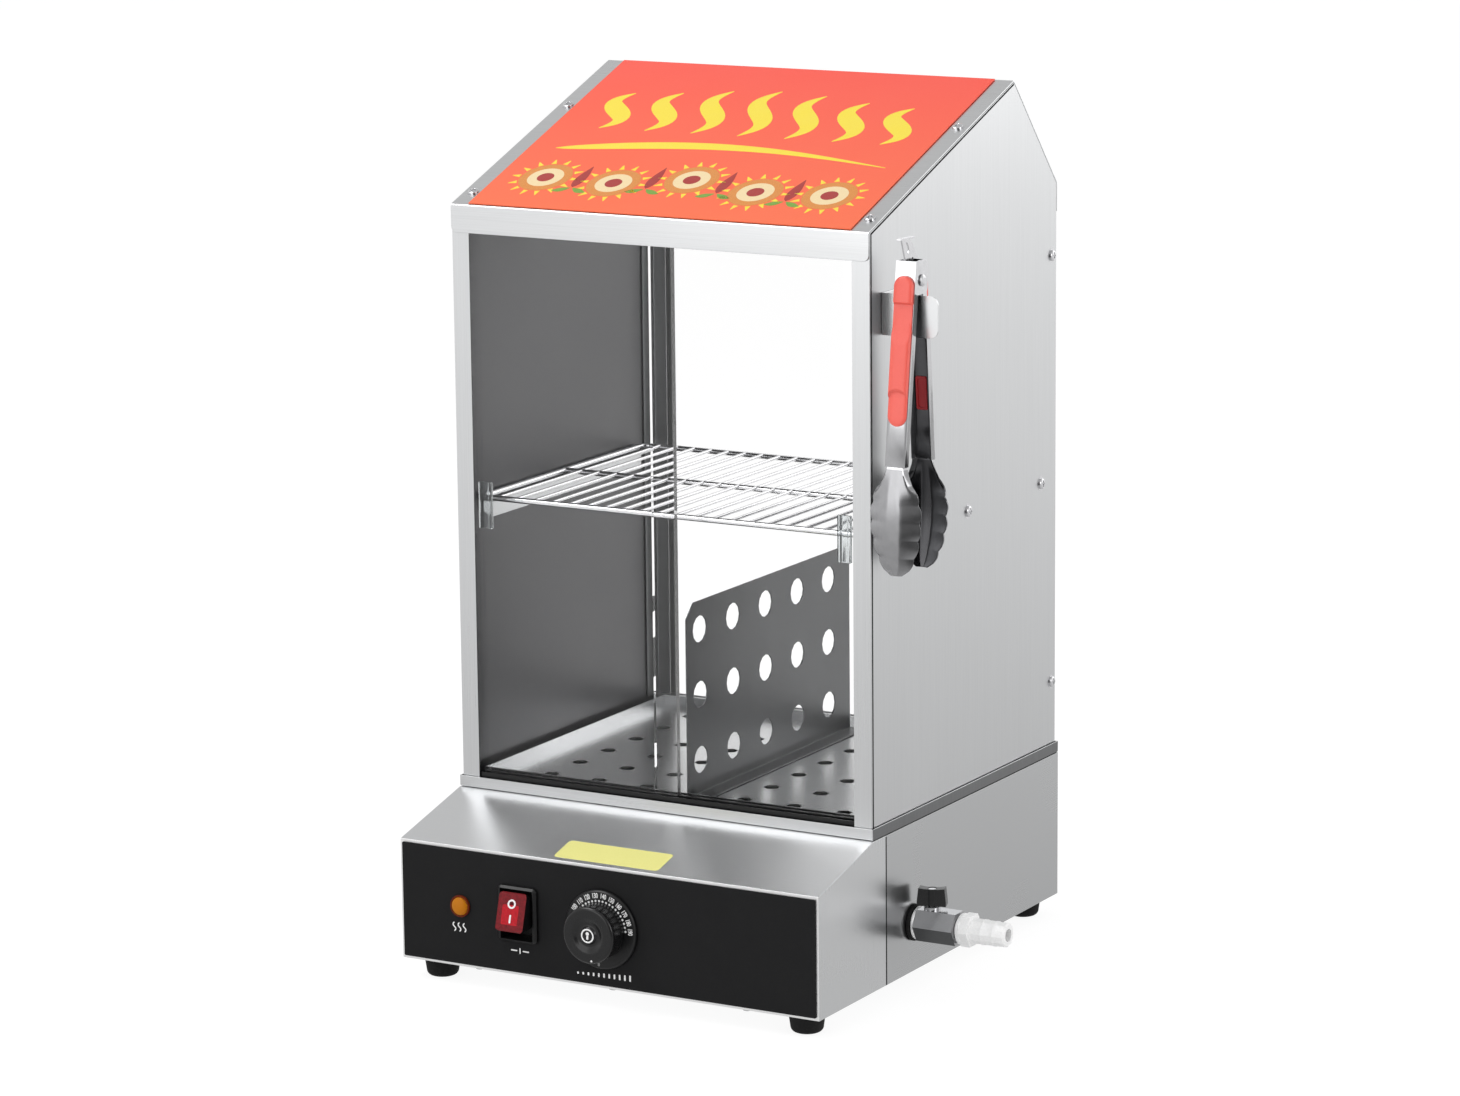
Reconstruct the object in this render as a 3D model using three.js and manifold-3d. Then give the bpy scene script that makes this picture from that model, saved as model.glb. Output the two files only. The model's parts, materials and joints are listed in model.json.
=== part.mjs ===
// Countertop hot dog steamer: a glazed two-tier cabinet on a water-tank base, with its tongs.
// Millimetres, +Z up. Modelled with x = 0 at mid width, y = 0 at the cabinet's front posts and
// z = 0 at the underside of the housing, then set down with the feet on z = 0 (see the end).
import * as THREE from "three";
import { mergeVertices } from "three/addons/utils/BufferGeometryUtils.js";
import Module from "manifold-3d";

// General sheet work and clearances
const sheet = 1;
const seat = 0.3;
const overrun = 5;
const weld = 0.001;

// Cabinet: two folded side panels under one folded roof
const cabinetWidth = 316;
const cabinetDepth = 271;
const eaveHeight = 502.4;
const ridgeRise = 76.4;
const ridgeDepth = 206;
const fasciaHeight = 19;
const rearFasciaHeight = 20;
const fasciaCornerRadius = 4;
const postWidth = 13;
const postHem = 2.4;
const rearPostWidth = 12;
const topFlange = 12;

// Roof sign
const signSideMargin = 13.5;
const signEndMargin = 1.4;
const signThickness = 0.6;

// Base: rim frame, housing and bottom plate
const baseWidth = 320;
const baseHeight = 102;
const baseRearReach = 2;
const rimHeight = 8;
const rimFrontReach = 2;
const rimFlange = 12;
const rimFrontFlange = 20;
const seamDepth = 16;
const housingFlange = 36;
const consoleReach = 76.5;
const consoleFrontHeight = 83;
const footDiameter = 25;
const footSoleDiameter = 22;
const footHeight = 14;
const footSoleRadius = 4;
const footSideInset = 19.5;
const footFrontInset = 19;
const footRearInset = 16;

// Water tank, heater and tray
const tankClearance = 0.8;
const tankFloorHeight = 20;
const tankRim = 7;
const heaterDiameter = 8;
const heaterHeight = 40;
const heaterWidth = 190;
const heaterNear = 42;
const heaterFarInset = 39;
const heaterFar = cabinetDepth - heaterFarInset;
const heaterLegGap = 44;
const heaterPost = 10;
const heaterFlangeDiameter = 22;
const heaterFlangeThickness = 3;
const bulbDiameter = 7;
const bulbLength = 70;
const bulbX = -52;
const bulbHeight = 52;
const trayEdge = 8;
const trayHoleDiameter = 12;
const trayHolePitch = 38;
const trayColumns = 7;
const trayRows = 6;

// Partition between the two lower compartments
const partitionX = 5;
const partitionFront = 25;
const partitionRearInset = 17;
const partitionRear = cabinetDepth - partitionRearInset;
const partitionTop = 239.5;
const partitionChamfer = 10;
const partitionFoot = 13;
const partitionHoleDiameter = 18.5;
const partitionHolePitch = 45;
const partitionHoleRows = 3;
const partitionHoleColumns = 5;
const partitionHoleTop = 220;
const partitionHoleFront = 43;

// Wire shelf and its two supports
const shelfHeight = 299.8;
const shelfFrontY = 21;
const shelfRearInset = 29;
const shelfRearY = cabinetDepth - shelfRearInset;
const shelfFrameWire = 4;
const shelfCrossWire = 2.4;
const shelfWireCount = 21;
const shelfSideGap = 2;
const supportWidth = 12;
const supportDrop = 15;
const supportFront = 25.5;
const supportRearInset = 31;
const supportRear = cabinetDepth - supportRearInset;
const supportNose = 17;

// Sliding glass doors and their tracks
const glassThickness = 4;
const glassCornerRadius = 2;
const doorWidth = 162;
const leftDoorEdge = 9.5;
const rightDoorEdge = -12.2;
const frontPaneY = 3.2;
const paneSpacing = 8;
const paneClearance = 0.5;
const trackBase = 1.2;
const trackRib = 1.2;
const trackHeight = 8.2;
const topTrackHeight = 14;
const topTrackDrop = 0.6;
const doorLift = 5;
const pullWidth = 10;
const pullHeight = 31.5;
const pullThickness = 3.1;
const pullPlate = 1.3;
const pullInset = 11;
const pullCentreHeight = 299;

// Rear glazing
const rearPaneInset = 8.6;
const rearPaneY = cabinetDepth - rearPaneInset;
const rearChannelDepth = 23;
const rearChannelWidth = 11;
const rearHeadHeight = 485;
const rearPaneSideGap = 2;

// Control panel
const panelThickness = 0.8;
const panelMargin = 2;
const lampX = -112;
const lampZ = 42.3;
const lampBezelDiameter = 15;
const lampBezelThickness = 1.6;
const lampBevel = 0.5;
const lampBodyDiameter = 12;
const lampBodyLength = 22;
const lampLensDiameter = 12.4;
const lampLensHeight = 2.6;
const lampSeatDepth = 0.8;
const switchX = -66.3;
const switchZ = 42.7;
const switchWidth = 30;
const switchHeight = 38;
const switchProud = 3.4;
const switchCornerRadius = 3;
const switchChamfer = 1.5;
const switchBodyWidth = 27;
const switchBodyHeight = 36.6;
const switchBodyDepth = 20;
const switchWellDepth = 12.4;
const switchWall = 1;
const rockerPivotDepth = 2.5;
const rockerReach = 13;
const rockerWidth = 21.2;
const rockerHeight = 26.2;
const rockerEdge = 1;
const rockerCornerRadius = 2.6;
const rockerTail = 4;
const rockerTailHeight = 16;
const rockerTilt = 15.7;
const rockerPinDiameter = 3;

// Thermostat and its knob
const knobX = -1.5;
const knobZ = 41;
const knobSkirtDiameter = 54;
const knobSkirtThickness = 2.6;
const knobSkirtGap = 1;
const knobGripDiameter = 38.6;
const knobGripWaistDiameter = 37.4;
const knobGripLength = 15.6;
const knobDishDiameter = 23;
const knobDishDepth = 1.8;
const knobHubDiameter = 10;
const knobRim = 2;
const shaftDiameter = 6;
const shaftFlat = 1.2;
const shaftReach = 10;
const boreClearance = 0.4;
const thermostatWidth = 42;
const thermostatHeight = 38;
const thermostatDepth = 24;
const bushDiameter = 9;

// Terminal block and cable gland
const terminalWidth = 60;
const terminalDepth = 18;
const terminalHeight = 14;
const terminalWays = 6;
const terminalX = 70;
const terminalY = -30;
const terminalGroove = 3;
const glandX = -110;
const glandZ = 40;
const glandThread = 16;
const glandHexWidth = 22;
const glandHexLength = 6;
const glandDomeLength = 13;
const glandBore = 9;
const glandNutLength = 5;

// Drain valve
const tapY = 54.5;
const tapZ = 33.8;
const tapThreadDiameter = 13;
const tapBore = 8;
const tapGasketDiameter = 24.8;
const tapGasketThickness = 2.4;
const tapWasherDiameter = 22.4;
const tapWasherThickness = 2;
const tapHexWidth = 21.3;
const tapHexLength = 28.7;
const tapBossDiameter = 11;
const tapBossHeight = 2;
const tapBallDiameter = 14;
const tapBallClearance = 0.4;
const tapNutWidth = 21;
const tapNutLength = 5;
const tapStemDiameter = 5;
const tapStemX = 8.6;
const tapLeverTurn = 18;
const tapLeverTopLength = 17.6;
const tapLeverLength = 19.6;
const tapLeverFoot = 3;
const tapLeverWidth = 8.6;
const tapLeverWaist = 6.8;
const tapLeverHeight = 12.2;
const tapLeverDip = 0.7;
const tapLeverGap = 0.8;
const nippleNeckDiameter = 16;
const nippleNeckLength = 1.2;
const nippleFlangeDiameter = 21.5;
const nippleFlangeLength = 3.6;
const nippleHexWidth = 20.5;
const nippleHexLength = 5.8;
const nippleRootDiameter = 17.4;
const nippleTipDiameter = 16.4;
const nippleBarrelLength = 25.3;
const nippleRings = 2;
const nippleRingHeight = 0.4;
const nippleRingWidth = 3;
const nippleBevel = 0.8;
const nippleBore = 9;

// Tong holder: an angle whose tab stands out between the arms
const holderTabY = 15.4;
const holderThickness = 1.2;
const holderReach = 40.8;
const holderTop = 461.5;
const holderHeight = 27.5;
const holderFlange = 20;
const holderCornerRadius = 6;

// Tongs, hanging by their pivot on the holder's tab
const tongsX = 178.9;
const tongsPivotY = 18;
const tongsLean = 1.5;
const armTop = 12.6;
const armHalfSpread = 7.8;
const armSplay = 0.101;
const armWidth = 14.5;
const armThickness = 1;
const armFlange = 5.2;
const armJog = 12;
const armNeck = 120;
const armFarSide = 40;
const earBottom = 9.2;
const earReach = 8.2;
const nestedEarReach = 4;
const earCornerRadius = 4;
const earNestGap = 0.45;
const headLength = 70;
const headHalfWidth = 17.6;
const headTrough = 6;
const headBelly = 4;
const headTipPull = 2;
const scallopDepth = 0.9;
const scallopCount = 6;
const gripTop = 3.3;
const gripBottom = 92.6;
const gripWidth = 13.6;
const gripThickness = 3.4;
const gripEdge = 1.4;
const gripDishDepth = 1;
const gripDishCentre = 26;
const gripDishLength = 30;
const gripHeelCentre = 82;
const gripHeelDepth = 0.6;
const plugTop = 64;
const plugLength = 22.5;
const plugWidth = 8.6;
const plugProud = 0.8;
const plugRim = 1.4;
const plugCornerRadius = 1.5;
const rivetDiameter = 4;
const rivetHeadDiameter = 8;
const rivetHeadHeight = 1.6;
const springRadius = 4.2;
const springWire = 1;
const springTurns = 2;
const springPitch = 1.3;
const springLeg = 13;
const springRearReach = 5.9;
const springSideGap = 1;
const pullTabThickness = 1.1;
const pullTabOffset = -0.9;
const pullTabTop = 27.3;
const pullTabBottom = 8.2;
const pullTabTravel = 4;
const pullStemWidth = 6.8;
const pullShoulderFront = 8;
const pullShoulderRear = 9.4;
const pullTopFront = 13.5;
const pullTopRear = 2.2;
const pullBarFront = 14.9;
const pullBarRear = 4.3;
const pullBarDepth = 3;
const pullHoleWidth = 3.5;
const pullHoleLength = 8;
const pullHoleY = -5.4;
const pullHoleZ = 20.8;
const pullHoleLean = 25;
const pullKeyWidth = 2.3;
const pullKeyLength = 4;
const pullKeyY = 1.5;
const pullKeyZ = 12.2;

// Facet counts
const roundSides = 20;
const barrelSides = 12;
const footSides = 12;
const smallSides = 12;
const holeSides = 8;
const trayHoleSides = 6;
const wireSides = 6;
const crossWireSides = 4;
const knobSides = 36;
const knobRimSteps = 3;
const cornerSteps = 4;

const wasm = await Module();
wasm.setup();

// Finishes: colour, roughness, metalness
const finishes = {
  steel: [0xd2d4d6, 0.32, 1],
  brightSteel: [0xe4e6e8, 0.18, 1],
  darkSteel: [0x6a6c6e, 0.35, 1],
  sign: [0xf8624a, 0.35, 0],
  glass: [0xdfe9ea, 0.03, 0],
  clearPlastic: [0xcfd6d8, 0.12, 0],
  blackPlastic: [0x1c1c1d, 0.5, 0],
  blackPanel: [0x242425, 0.6, 0],
  amber: [0xf08a18, 0.2, 0],
  redRocker: [0xc8141c, 0.2, 0],
  rubber: [0x161616, 0.85, 0],
  nylon: [0xf2f2ee, 0.4, 0],
  coral: [0xf2655f, 0.55, 0],
  ceramic: [0xe8e2d4, 0.7, 0],
  copper: [0xb87a4a, 0.35, 1],
};

// A closed three.js geometry as a solid that can be joined and cut.
function solid(geometry) {
  const bare = geometry.index ? geometry.toNonIndexed() : geometry.clone();
  bare.deleteAttribute("normal");
  bare.deleteAttribute("uv");
  const merged = mergeVertices(bare, weld);
  return new wasm.Manifold(
    new wasm.Mesh({
      numProp: 3,
      vertProperties: new Float32Array(merged.attributes.position.array),
      triVerts: new Uint32Array(merged.index.array),
    }),
  );
}

function geometryOf(body) {
  const mesh = body.getMesh();
  const geometry = new THREE.BufferGeometry();
  const points = new Float32Array(mesh.vertProperties);
  geometry.setAttribute("position", new THREE.BufferAttribute(points, 3));
  geometry.setIndex(new THREE.BufferAttribute(new Uint32Array(mesh.triVerts), 1));
  geometry.computeVertexNormals();
  return geometry;
}

const join = (first, ...rest) => rest.reduce((sum, next) => sum.add(next), first);
const cut = (first, ...rest) => rest.reduce((left, next) => left.subtract(next), first);

function part(name, body, finish) {
  const [color, roughness, metalness] = finishes[finish];
  const material = new THREE.MeshStandardMaterial({ color, roughness, metalness });
  const mesh = new THREE.Mesh(geometryOf(body), material);
  mesh.name = name;
  return mesh;
}

function assembly(...children) {
  const group = new THREE.Group();
  group.add(...children);
  return group;
}

// Solids from outlines. Each takes [a, b] points in the plane across the extrusion.
function outlineShape(points) {
  return new THREE.Shape(points.map(([a, b]) => new THREE.Vector2(a, b)));
}

function extruded(shape, length, basis, origin, curveSteps = cornerSteps) {
  const geometry = new THREE.ExtrudeGeometry(shape, {
    depth: length,
    bevelEnabled: false,
    curveSegments: curveSteps,
  });
  geometry.applyMatrix4(new THREE.Matrix4().makeBasis(...basis));
  geometry.translate(...origin);
  return solid(geometry);
}

const X = new THREE.Vector3(1, 0, 0);
const Y = new THREE.Vector3(0, 1, 0);
const Z = new THREE.Vector3(0, 0, 1);
const alongX = (shape, from, to) => extruded(shape, to - from, [Y, Z, X], [from, 0, 0]);
const alongY = (shape, from, to) =>
  extruded(shape, to - from, [X, Z, Y.clone().negate()], [0, to, 0]);
const alongZ = (shape, from, to) => extruded(shape, to - from, [X, Y, Z], [0, 0, from]);

function block(x0, x1, y0, y1, z0, z1) {
  const geometry = new THREE.BoxGeometry(x1 - x0, y1 - y0, z1 - z0);
  geometry.translate((x0 + x1) / 2, (y0 + y1) / 2, (z0 + z1) / 2);
  return solid(geometry);
}

// Cylinder between two places on one axis ("x", "y" or "z") through the centre [a, b].
function rod(axis, from, to, centre, diameter, sides = roundSides, endDiameter = diameter) {
  const geometry = new THREE.CylinderGeometry(endDiameter / 2, diameter / 2, to - from, sides);
  geometry.translate(0, (to - from) / 2, 0);
  return solid(alongAxis(geometry, axis, from, centre));
}

// Body of revolution from [radius, position] points, turned onto an axis.
function turned(axis, points, centre, sides = roundSides) {
  const profile = points.map(([radius, position]) => new THREE.Vector2(radius, position));
  const geometry = new THREE.LatheGeometry(profile, sides);
  const body = solid(alongAxis(geometry, axis, 0, centre));
  if (body.volume() > 0) return body;
  const reversed = new THREE.LatheGeometry(profile.reverse(), sides);
  return solid(alongAxis(reversed, axis, 0, centre));
}

// Moves a geometry made on +Y from the origin onto another axis.
function alongAxis(geometry, axis, from, [a, b]) {
  if (axis === "x") return geometry.rotateZ(-Math.PI / 2).translate(from, a, b);
  if (axis === "y") return geometry.translate(a, from, b);
  return geometry.rotateX(Math.PI / 2).translate(a, b, from);
}

// Hexagonal bar with its flats up and down.
function hexBar(axis, from, to, centre, acrossFlats) {
  const radius = acrossFlats / 2 / Math.cos(Math.PI / 6);
  const turn = Math.PI / 6;
  const geometry = new THREE.CylinderGeometry(radius, radius, to - from, 6, 1, false, turn);
  geometry.translate(0, (to - from) / 2, 0);
  return solid(alongAxis(geometry, axis, from, centre));
}

function roundedRectangle(a0, a1, b0, b1, radius) {
  const shape = new THREE.Shape();
  shape.moveTo(a0 + radius, b0);
  shape.lineTo(a1 - radius, b0);
  shape.absarc(a1 - radius, b0 + radius, radius, -Math.PI / 2, 0);
  shape.lineTo(a1, b1 - radius);
  shape.absarc(a1 - radius, b1 - radius, radius, 0, Math.PI / 2);
  shape.lineTo(a0 + radius, b1);
  shape.absarc(a0 + radius, b1 - radius, radius, Math.PI / 2, Math.PI);
  shape.lineTo(a0, b0 + radius);
  shape.absarc(a0 + radius, b0 + radius, radius, Math.PI, Math.PI * 1.5);
  return shape;
}

// A folded sheet's inner line: the outer line moved to its right by a distance, with mitred bends.
function offsetLine(points, distance) {
  const directions = points.slice(1).map((p, i) => {
    const run = new THREE.Vector2(p[0] - points[i][0], p[1] - points[i][1]);
    return run.normalize();
  });
  return points.map(([a, b], i) => {
    const before = directions[Math.max(i - 1, 0)];
    const after = directions[Math.min(i, directions.length - 1)];
    const normal = new THREE.Vector2(before.y + after.y, -before.x - after.x).normalize();
    const stretch = distance / (normal.x * before.y - normal.y * before.x);
    return [a + normal.x * stretch, b + normal.y * stretch];
  });
}

function foldedSheet(points, thickness) {
  return outlineShape([...points, ...offsetLine(points, thickness).reverse()]);
}

// Places shared by several pieces
const cabinetHalf = cabinetWidth / 2;
const ridgeHeight = eaveHeight + ridgeRise;
const baseHalf = baseWidth / 2;
const lap = sheet + seat;
const baseRear = cabinetDepth + baseRearReach;
const rimBottom = baseHeight + seat;
const rimTop = baseHeight + rimHeight;
const rimFlangeTop = rimBottom + sheet;
const tankRimTop = rimFlangeTop + seat + sheet;
const cabinetBottom = tankRimTop + seat;
const openingHalf = cabinetHalf - postWidth;
const rimInnerHalf = baseHalf - rimFlange;
const rimInnerFront = rimFrontFlange - rimFrontReach;
const rimInnerRear = baseRear - rimFlange;
const tankHalf = rimInnerHalf - tankClearance;
const tankFront = rimInnerFront + tankClearance;
const tankRear = rimInnerRear - tankClearance;
const roofLine = [
  [-lap, eaveHeight - fasciaHeight],
  [-lap, eaveHeight],
  [ridgeDepth, ridgeHeight],
  [cabinetDepth + lap, eaveHeight],
  [cabinetDepth + lap, eaveHeight - rearFasciaHeight],
];
const underRoof = offsetLine(roofLine, lap);
const consoleLine = [
  [-consoleReach, 0],
  [-consoleReach, consoleFrontHeight],
  [-rimFrontReach, baseHeight],
  [seamDepth - seat, baseHeight],
];

// Cabinet
function sidePanel(side) {
  const face = side * cabinetHalf;
  const span = (from, to) => [Math.min(side * from, side * to), Math.max(side * from, side * to)];
  const [skinFrom, skinTo] = span(cabinetHalf - sheet, cabinetHalf);
  const crown = underRoof.slice(1, 4);
  const skin = outlineShape([[0, cabinetBottom], ...crown, [cabinetDepth, cabinetBottom]]);
  const [postFrom, postTo] = span(openingHalf, cabinetHalf);
  const [hemFrom, hemTo] = span(openingHalf, openingHalf + sheet);
  const [rearFrom, rearTo] = span(cabinetHalf - rearPostWidth, cabinetHalf);
  const [lipFrom, lipTo] = span(cabinetHalf - topFlange, cabinetHalf);
  return join(
    alongX(skin, skinFrom, skinTo),
    block(postFrom, postTo, 0, sheet, cabinetBottom, crown[0][1]),
    block(hemFrom, hemTo, 0, postHem, cabinetBottom, crown[0][1]),
    block(rearFrom, rearTo, cabinetDepth - sheet, cabinetDepth, cabinetBottom, crown[2][1]),
    alongX(foldedSheet(crown, sheet), lipFrom, lipTo),
  );
}

function roofPanel() {
  const bent = alongX(foldedSheet(roofLine, sheet), -cabinetHalf, cabinetHalf);
  const low = eaveHeight - Math.max(fasciaHeight, rearFasciaHeight);
  const front = roundedRectangle(
    -cabinetHalf,
    cabinetHalf,
    eaveHeight - fasciaHeight,
    ridgeHeight + overrun,
    fasciaCornerRadius,
  );
  const behind = block(-cabinetHalf, cabinetHalf, ridgeDepth, baseRear, low, ridgeHeight + overrun);
  return bent.intersect(join(alongY(front, -lap - overrun, ridgeDepth), behind));
}

function roofSign() {
  const [, eave, ridge] = roofLine;
  const length = Math.hypot(ridge[0] - eave[0], ridge[1] - eave[1]) - 2 * signEndMargin;
  const half = cabinetHalf - signSideMargin;
  const group = new THREE.Group();
  group.add(
    part(
      "roof_sign",
      block(-half, half, signEndMargin, signEndMargin + length, seat, seat + signThickness),
      "sign",
    ),
  );
  group.position.set(0, ...eave);
  group.rotation.x = Math.atan2(ridge[1] - eave[1], ridge[0] - eave[0]);
  return group;
}

// Base
function baseRim() {
  const ring = cut(
    block(-baseHalf, baseHalf, -rimFrontReach, baseRear, rimBottom, rimTop),
    block(
      sheet - baseHalf,
      baseHalf - sheet,
      sheet - rimFrontReach,
      baseRear - sheet,
      rimFlangeTop,
      rimTop + overrun,
    ),
    block(
      -rimInnerHalf,
      rimInnerHalf,
      rimInnerFront,
      rimInnerRear,
      rimBottom - overrun,
      rimTop + overrun,
    ),
  );
  return ring;
}

function baseShell() {
  const innerHalf = baseHalf - sheet;
  const slotHalf = baseHalf - housingFlange;
  return cut(
    block(-baseHalf, baseHalf, seamDepth, baseRear, 0, baseHeight),
    block(-innerHalf, innerHalf, seamDepth - overrun, baseRear - sheet, sheet, baseHeight + overrun),
    block(
      -slotHalf,
      slotHalf,
      seamDepth - overrun,
      baseRear - housingFlange,
      -overrun,
      sheet + overrun,
    ),
    rod("x", innerHalf - overrun, baseHalf + overrun, [tapY, tapZ], tapThreadDiameter + 2 * seat),
    rod("y", baseRear - overrun, baseRear + overrun, [glandX, glandZ], glandThread + 2 * seat),
  );
}

function controlHousing() {
  const inner = offsetLine([[-consoleReach, -overrun], ...consoleLine.slice(1, 3)], sheet);
  const openTop = [seamDepth + overrun, baseHeight - sheet];
  const cavity = outlineShape([...inner, openTop, [seamDepth + overrun, -overrun]]);
  const outer = outlineShape([...consoleLine, [seamDepth - seat, 0]]);
  const innerHalf = baseHalf - sheet;
  const shell = cut(alongX(outer, -baseHalf, baseHalf), alongX(cavity, -innerHalf, innerHalf));
  const lip = block(
    -baseHalf,
    baseHalf,
    -consoleReach,
    housingFlange - consoleReach,
    0,
    sheet,
  );
  return cut(join(shell, lip), ...panelOpenings(-consoleReach - overrun, sheet - consoleReach));
}

// The lamp, switch and thermostat openings, shared by the housing and the panel in front of it.
function panelOpenings(from, to) {
  const end = to + overrun;
  const halfWidth = switchBodyWidth / 2 + seat;
  const halfHeight = switchBodyHeight / 2 + seat;
  return [
    rod("y", from, end, [lampX, lampZ], lampBodyDiameter + 2 * seat),
    block(
      switchX - halfWidth,
      switchX + halfWidth,
      from,
      end,
      switchZ - halfHeight,
      switchZ + halfHeight,
    ),
    rod("y", from, end, [knobX, knobZ], bushDiameter + 2 * seat),
  ];
}

function controlPanel() {
  const back = -consoleReach - seat;
  const front = back - panelThickness;
  const plate = roundedRectangle(
    panelMargin - baseHalf,
    baseHalf - panelMargin,
    panelMargin,
    consoleFrontHeight - panelMargin,
    panelMargin / 2,
  );
  return cut(alongY(plate, front, back), ...panelOpenings(front - overrun, back));
}

function bottomPlate() {
  const half = baseHalf - sheet - seat;
  const low = sheet + seat;
  const front = sheet + seat - consoleReach;
  return block(-half, half, front, baseRear - sheet - seat, low, low + sheet);
}

function foot(x, y) {
  const sole = footSoleDiameter / 2;
  const round = [...Array(cornerSteps + 1).keys()].map((i) => {
    const angle = (i / cornerSteps) * (Math.PI / 2);
    const radius = sole - footSoleRadius * (1 - Math.sin(angle));
    return [radius, -footHeight + footSoleRadius * (1 - Math.cos(angle))];
  });
  const rim = [footDiameter / 2, -seat];
  return turned("z", [[0, -footHeight], ...round, rim, [0, -seat]], [x, y], footSides);
}

function feet() {
  const places = [
    ["foot_front_left", -1, footFrontInset - consoleReach],
    ["foot_front_right", 1, footFrontInset - consoleReach],
    ["foot_rear_left", -1, baseRear - footRearInset],
    ["foot_rear_right", 1, baseRear - footRearInset],
  ];
  return places.map(([name, side, y]) =>
    part(name, foot(side * (baseHalf - footSideInset), y), "rubber"),
  );
}

// Water tank, heater and tray
function waterTank() {
  const rimHalf = tankHalf + tankRim;
  const rimLow = rimFlangeTop + seat;
  return cut(
    join(
      block(-tankHalf, tankHalf, tankFront, tankRear, tankFloorHeight, tankRimTop),
      block(-rimHalf, rimHalf, tankFront - tankRim, tankRear + tankRim, rimLow, tankRimTop),
    ),
    block(
      sheet - tankHalf,
      tankHalf - sheet,
      tankFront + sheet,
      tankRear - sheet,
      tankFloorHeight + sheet,
      tankRimTop + overrun,
    ),
    rod("x", tankHalf - overrun, tankHalf + overrun, [tapY, tapZ], tapThreadDiameter + 2 * seat),
    ...[-1, 1].map((side) =>
      rod(
        "y",
        tankFront - overrun,
        tankFront + overrun,
        [(side * heaterLegGap) / 2, heaterHeight],
        heaterDiameter + 2 * seat,
      ),
    ),
    rod(
      "y",
      tankFront - overrun,
      tankFront + overrun,
      [bulbX, bulbHeight],
      bulbDiameter + 2 * seat,
      smallSides,
    ),
  );
}

// One tubular element: in through the front wall, round the tank in a flat loop and out again.
function heatingElement() {
  const leg = heaterLegGap / 2;
  const half = heaterWidth / 2;
  const bend = heaterLegGap / 2;
  const start = tankFront - heaterPost;
  const at = (x, y) => new THREE.Vector3(x, y, heaterHeight);
  const path = new THREE.CurvePath();
  const line = (from, to) => path.add(new THREE.LineCurve3(from, to));
  const turn = (from, corner, to) =>
    path.add(new THREE.QuadraticBezierCurve3(from, corner, to));
  const right = [
    at(leg, start),
    at(leg, heaterNear - bend / 2),
    at(leg, heaterNear),
    at(leg + bend / 2, heaterNear),
    at(half - bend, heaterNear),
    at(half, heaterNear),
    at(half, heaterNear + bend),
    at(half, heaterFar - bend),
    at(half, heaterFar),
    at(half - bend, heaterFar),
  ];
  const left = right.map((p) => at(-p.x, p.y)).reverse();
  const along = [...right, ...left];
  const run = (i) => line(along[i], along[i + 1]);
  const arc = (i) => turn(along[i], along[i + 1], along[i + 2]);
  for (let i = 0; i < along.length - 1; i += bendStride) {
    run(i);
    if (i + bendStride < along.length) arc(i + 1);
  }
  return solid(tube(path, heaterDiameter, wireSides, heaterSteps));
}

const heaterSteps = 64;
// Points from the start of one straight run to the start of the next.
const bendStride = 3;

// A closed tube of straight facets along a curve.
function tube(path, diameter, sides, steps) {
  const section = new THREE.Shape(
    [...Array(sides).keys()].map((i) => {
      const angle = (2 * Math.PI * i) / sides;
      const radius = diameter / 2;
      return new THREE.Vector2(radius * Math.cos(angle), radius * Math.sin(angle));
    }),
  );
  return new THREE.ExtrudeGeometry(section, { steps, extrudePath: path, curveSegments: 1 });
}

function heaterFlange() {
  const back = tankFront - seat;
  const front = back - heaterFlangeThickness;
  const reach = heaterLegGap / 2 + heaterFlangeDiameter / 2;
  const half = heaterFlangeDiameter / 2;
  const plate = roundedRectangle(-reach, reach, heaterHeight - half, heaterHeight + half, half - seat);
  return cut(
    alongY(plate, front, back),
    ...[-1, 1].map((side) =>
      rod(
        "y",
        front - overrun,
        back + overrun,
        [(side * heaterLegGap) / 2, heaterHeight],
        heaterDiameter + 2 * seat,
      ),
    ),
    rod(
      "y",
      front - overrun,
      back + overrun,
      [bulbX, bulbHeight],
      bulbDiameter + 2 * seat,
      smallSides,
    ),
  );
}

function thermostatBulb() {
  const start = tankFront - heaterPost;
  return rod("y", start, start + bulbLength, [bulbX, bulbHeight], bulbDiameter, smallSides);
}

function tray() {
  const half = tankHalf + tankRim / 2;
  const front = frontTrackRear + seat;
  const rear = rearSillFront - seat;
  const low = cabinetBottom;
  const blank = cut(
    block(-half, half, front, rear, low, low + trayEdge),
    block(
      sheet - half,
      half - sheet,
      front + sheet,
      rear - sheet,
      low + sheet,
      low + trayEdge + overrun,
    ),
  );
  const midY = (front + rear) / 2;
  const holes = [];
  for (let i = 0; i < trayColumns; i += 1) {
    for (let j = 0; j < trayRows; j += 1) {
      const x = (i - (trayColumns - 1) / 2) * trayHolePitch;
      const y = midY + (j - (trayRows - 1) / 2) * trayHolePitch;
      holes.push(rod("z", low - overrun, low + overrun, [x, y], trayHoleDiameter, trayHoleSides));
    }
  }
  return cut(blank, ...holes);
}

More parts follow.
